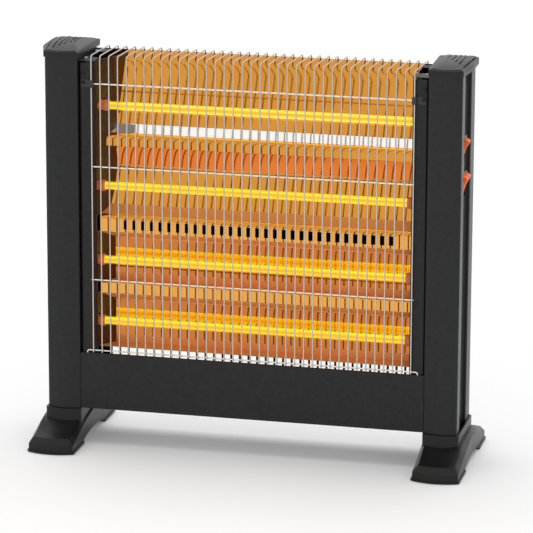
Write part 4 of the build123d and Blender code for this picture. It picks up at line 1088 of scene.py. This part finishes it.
# The quartz glass is given a faint glow of its own: painted light standing in for the coil's light in it.
quartz, quartz_tree, quartz_shader = new_material("quartz")
quartz_blotch = place_group(quartz_tree, grain_tree, Grain_Scale=300.0, Blotch_Scale=60.0)["Blotch"]
feed(quartz_tree, quartz_shader, {
    "Base Color": (1.0, 0.98, 0.90), "Transmission Weight": 1.0, "IOR": quartz_bend,
    "Specular IOR Level": 0.12, "Emission Strength": quartz_glow,
    "Roughness": spread(quartz_tree, quartz_blotch, 0.0, 0.06)})
glow_by_height(quartz_tree, quartz_shader)

heating_wire, wire_tree, wire_shader = new_material("heating_wire")
feed(wire_tree, wire_shader, {"Base Color": (0.12, 0.06, 0.03), "Roughness": 0.7,
                              "Emission Strength": glow_strength})
glow_by_height(wire_tree, wire_shader)


def mark_height(piece, centre_z, radius):
    """Store each vertex's height across a tube, from minus one at its bottom to one at its top."""
    layer = piece.data.attributes.new(height_across, "FLOAT", "POINT")
    for vertex, value in zip(piece.data.vertices, layer.data):
        value.value = (vertex.co.z - centre_z) / radius


def swept(mesh, points, radius, sides):
    """A round wire along a line of points, turned as little as it can be on its way."""
    last = len(points) - 1
    normal = (points[1] - points[0]).normalized().orthogonal()
    angles = [2 * math.pi * s / sides for s in range(sides)]
    rings = []
    for index, point in enumerate(points):
        tangent = (points[min(index + 1, last)] - points[max(index - 1, 0)]).normalized()
        normal = (normal - tangent * normal.dot(tangent)).normalized()
        across = tangent.cross(normal)
        rings.append([mesh.verts.new(point + (normal * math.cos(a) + across * math.sin(a)) * radius)
                      for a in angles])
    skin(mesh, rings)


for number, (axis_y, axis_z) in enumerate(tube_axes, 1):
    tube_mesh = made(lathe, tube_profile, (-tube_reach, axis_y, axis_z), to_right, tube_sides, joined=True)
    sheath = finish_piece(f"quartz_sheath_{number}", tube_mesh, [quartz], "quartz", [f"quartz_tube_{number}"])
    mark_height(sheath, axis_z, tube_radius)
    coil_mesh = bmesh.new()
    lead_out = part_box(f"heating_coil_{number}")[1].x
    total = coil_turns * coil_steps
    coil_path = []
    for step in range(total + 1):
        angle = 2 * math.pi * step / coil_steps
        coil_path.append(Vector((coil_reach * (2 * step / total - 1), axis_y + coil_radius * math.cos(angle),
                                 axis_z + coil_radius * math.sin(angle))))
    swept(coil_mesh, coil_path, coil_wire / 2, coil_sides)
    for way in (-1, 1):
        lead = [Vector((way * (coil_reach + out), axis_y + share * coil_radius, axis_z))
                for out, share in lead_bend]
        swept(coil_mesh, lead + [Vector((way * lead_out, axis_y, axis_z))], lead_radius, lead_sides)
    coil = finish_piece(f"glowing_coil_{number}", coil_mesh, [heating_wire], "heating_wire",
                        [f"heating_coil_{number}"], sharp=coil_sharp)
    mark_height(coil, axis_z, coil_radius)


# Ceramic ends and terminals
# Each tube end sits in a turned collar of pink-brown ceramic that passes the side plate; inside the column a
# brass terminal holds the lead.
ceramic, ceramic_tree, ceramic_shader = new_material("ceramic")
ceramic_grain = place_group(ceramic_tree, grain_tree, Grain_Scale=1800.0, Blotch_Scale=200.0)
# The ceramic's faint orange glow is painted light, standing in for the tubes' light falling on it.
feed(ceramic_tree, ceramic_shader, {
    "Base Color": blend_colours(ceramic_tree, ceramic_grain["Blotch"], (0.66, 0.175, 0.060),
                                (0.80, 0.250, 0.095)),
    "Emission Color": (1.0, 0.22, 0.05), "Emission Strength": 0.07, "Roughness": 0.55})
raise_bumps(ceramic_tree, ceramic_shader, ceramic_grain["Height"], distance=0.05 * mm)

ceramic_low, ceramic_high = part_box("right_tube_ends")
ceramic_starts = {-1: (178.0 * mm, 182.5 * mm, 183.0 * mm, 183.0 * mm),
                  1: (188.5 * mm, ceramic_low.x, ceramic_low.x, ceramic_low.x)}
ceramic_lip = 8.5 * mm
ceramic_edge = 0.5 * mm
ceramic_sides = 36
mouth_flare = 1.3
mouth = mouth_flare * (ceramic_radius - tube_radius) + tube_radius
ceramic_bore = tube_radius + 0.1 * mm
ceramic_face = [(ceramic_bore, 0.6 * mm), (tube_radius + 0.5 * mm, 0.0), (mouth - 1.2 * mm, 0.0),
                (mouth - 0.4 * mm, 0.5 * mm), (mouth, 2.0 * mm), (mouth, ceramic_lip - 3 * mm),
                (ceramic_radius - 0.4 * mm, ceramic_lip), (ceramic_radius, ceramic_lip + 1.0 * mm)]

for ends_name, way in (("left_tube_ends", -1), ("right_tube_ends", 1)):
    ends_mesh = bmesh.new()
    for (axis_y, axis_z), start in zip(tube_axes, ceramic_starts[way]):
        bore_floor = tube_reach - start
        whole = ceramic_high.x - start
        profile = [(lead_radius, bore_floor), (ceramic_bore, bore_floor), *ceramic_face,
                   (ceramic_radius, whole - ceramic_edge), (ceramic_radius - ceramic_edge, whole),
                   (lead_radius, whole)]
        lathe(ends_mesh, profile, (way * start, axis_y, axis_z), to_side[way], ceramic_sides, joined=True)
    finish_piece(ends_name.replace("tube_ends", "ceramics"), ends_mesh, [ceramic], "ceramic", [ends_name])

terminal_brass, brass_tree, brass_shader = new_material("terminal_brass")
brass_blotch = place_group(brass_tree, grain_tree, Grain_Scale=900.0, Blotch_Scale=150.0)["Blotch"]
feed(brass_tree, brass_shader, {
    "Base Color": blend_colours(brass_tree, brass_blotch, (0.55, 0.38, 0.12), (0.70, 0.50, 0.20)),
    "Metallic": 1.0, "Roughness": 0.35})
repaint(terminal_brass, "terminal_brass", "left_tube_terminals", "right_tube_terminals")


# Guard
# Thirty-seven upright wires bend back over the top and hook down behind the back cover, drawn a little
# thinner than in the frame. Four crosswires are welded behind them, the lowest one hooked down into the front
# panel. All are plated alike, but the crosswires are painted lighter, as a painted highlight. Two small
# plates clip the ends of the top one to the side frames.
plating = {"roughness": (0.20, 0.32), "grain_scale": 1200.0, "blotch_scale": 120.0, "grain_depth": 0.01 * mm}
plated_wire = metal("plated_wire", (0.50, 0.475, 0.43), (0.60, 0.575, 0.53), **plating)
# The crosswires' plating painted lighter than the uprights': a painted highlight.
highlit_wire = metal("highlit_wire", (0.78, 0.75, 0.70), (0.90, 0.87, 0.82), **plating)
wire_radius = 1.0 * mm
upright_radius = 0.9 * mm
wire_sides = 12
guard_bend = 4.0 * mm
hook_bend = 2.2 * mm
hook_drop = 12.0 * mm
guard_fall = 2.5 * mm
crosswire_bend = 2.5 * mm


def bent_path(points, radii, steps=8):
    """The points of a bent wire, with an arc at each inner one."""
    path = [Vector(points[0])]
    for before, here, after, radius in zip(points, points[1:], points[2:], radii):
        here = Vector(here)
        back, on = (Vector(before) - here).normalized(), (Vector(after) - here).normalized()
        half = back.angle(on) / 2
        centre = here + (back + on).normalized() * radius / math.sin(half)
        arm = here + back * radius / math.tan(half) - centre
        axis = on.cross(back)
        path += [centre + Matrix.Rotation((math.pi - 2 * half) * step / steps, 3, axis) @ arm
                 for step in range(steps + 1)]
    return path + [Vector(points[-1])]


uprights_mesh = bmesh.new()
for low, high in solids_of("guard_uprights"):
    x = (low.x + high.x) / 2
    front_y, hook_y, top = low.y + wire_radius, high.y - wire_radius, high.z - wire_radius
    path = bent_path([(x, front_y, low.z), (x, front_y, top), (x, hook_y, top - guard_fall),
                      (x, hook_y, top - guard_fall - hook_drop)], [guard_bend, hook_bend])
    swept(uprights_mesh, path, upright_radius, wire_sides)
finish_piece("upright_wires", uprights_mesh, [plated_wire], "plated_wire", ["guard_uprights"])

crosswires_mesh = bmesh.new()
for low, high in solids_of("guard_crosswires"):
    y = (low.y + high.y) / 2
    if high.z - low.z < 3 * wire_radius:
        path = [Vector((x, y, (low.z + high.z) / 2)) for x in (low.x, high.x)]
    else:
        left_x, right_x, z = low.x + wire_radius, high.x - wire_radius, high.z - wire_radius
        path = bent_path([(left_x, y, low.z), (left_x, y, z), (right_x, y, z), (right_x, y, low.z)],
                         [crosswire_bend, crosswire_bend])
    swept(crosswires_mesh, path, wire_radius, wire_sides)
finish_piece("cross_wires", crosswires_mesh, [highlit_wire], "plated_wire", ["guard_crosswires"])

clip_paint = coated("clip_paint", (0.0300, 0.0300, 0.0305), (0.06, 0.06, 0.06), roughness=0.40, gloss=0.35,
                    grain_depth=0.035 * mm, grain_scale=3200.0)
repaint(clip_paint, "painted_steel", "guard_clips")


# Switches
# One rocker switch above a pair, each in a black housing whose bezel stands further out at its top. The keys
# are translucent orange plastic with a hollow pressing face, and tilt on a pin. Their faint glow is painted
# light, as from a lamp behind them that is not built, and keeps them bright where they are shaded.
switch_black = coated("switch_black", (0.010, 0.011, 0.013), (0.03, 0.03, 0.03), roughness=0.28, gloss=0.5,
                      grain_depth=0.01 * mm, grain_scale=1500.0)
rocker_orange = coated("rocker_orange", (1.0, 0.150, 0.010), (1.0, 0.22, 0.03), roughness=0.38, gloss=0.22,
                       grain_depth=0.01 * mm, grain_scale=1200.0)
# A faint orange glow: painted light that keeps the keys bright where they are shaded.
feed(rocker_orange.node_tree, rocker_orange.node_tree.nodes["Principled BSDF"],
     {"Emission Color": (1.0, 0.13, 0.008), "Emission Strength": 0.22})
repaint(switch_black, "switch_black", "upper_switch_housing", "lower_switch_housing")
repaint(rocker_orange, "rocker_orange", "upper_rocker", "lower_front_rocker", "lower_rear_rocker")
repaint(terminal_brass, "terminal_brass", "switch_blades")


# Back cover and cord bush
# The back is a flat sheet of painted steel without rubbed edges, with a row of vents at its foot and two rows
# of louvre slots; the cord's bush sits in its lower right corner.
cover_paint = coated("cover_paint", painted_black, painted_black, roughness=0.42, gloss=0.28,
                     grain_depth=0.035 * mm, grain_scale=3200.0)
repaint(cover_paint, "painted_steel", "back_cover")
bush_plastic = coated("bush_plastic", (0.010, 0.010, 0.011), (0.03, 0.03, 0.03), roughness=0.45, gloss=0.4,
                      grain_depth=0.02 * mm, grain_scale=1500.0)
repaint(bush_plastic, "bush_plastic", "cord_bush")


# Works inside the columns and the tray
# The tip-over switch with its hanging weight, the thermal cut-out, the terminal block and the two looms.
case_plastic = coated("case_plastic", (0.62, 0.60, 0.55), (0.75, 0.73, 0.68), roughness=0.5, gloss=0.4,
                      grain_depth=0.02 * mm, grain_scale=1500.0)
repaint(case_plastic, "case_plastic", "tip_over_case", "terminal_block")
repaint(screw_zinc, "weight_steel", "tip_over_weight")
repaint(screw_zinc, "cutout_aluminium", "thermal_cutout")
loom_sleeve = coated("loom_sleeve", (0.30, 0.29, 0.27), (0.4, 0.39, 0.37), roughness=0.7, gloss=0.3,
                     grain_depth=0.05 * mm, grain_scale=900.0)
repaint(loom_sleeve, "loom_sleeve", "left_wiring_loom", "right_wiring_loom")
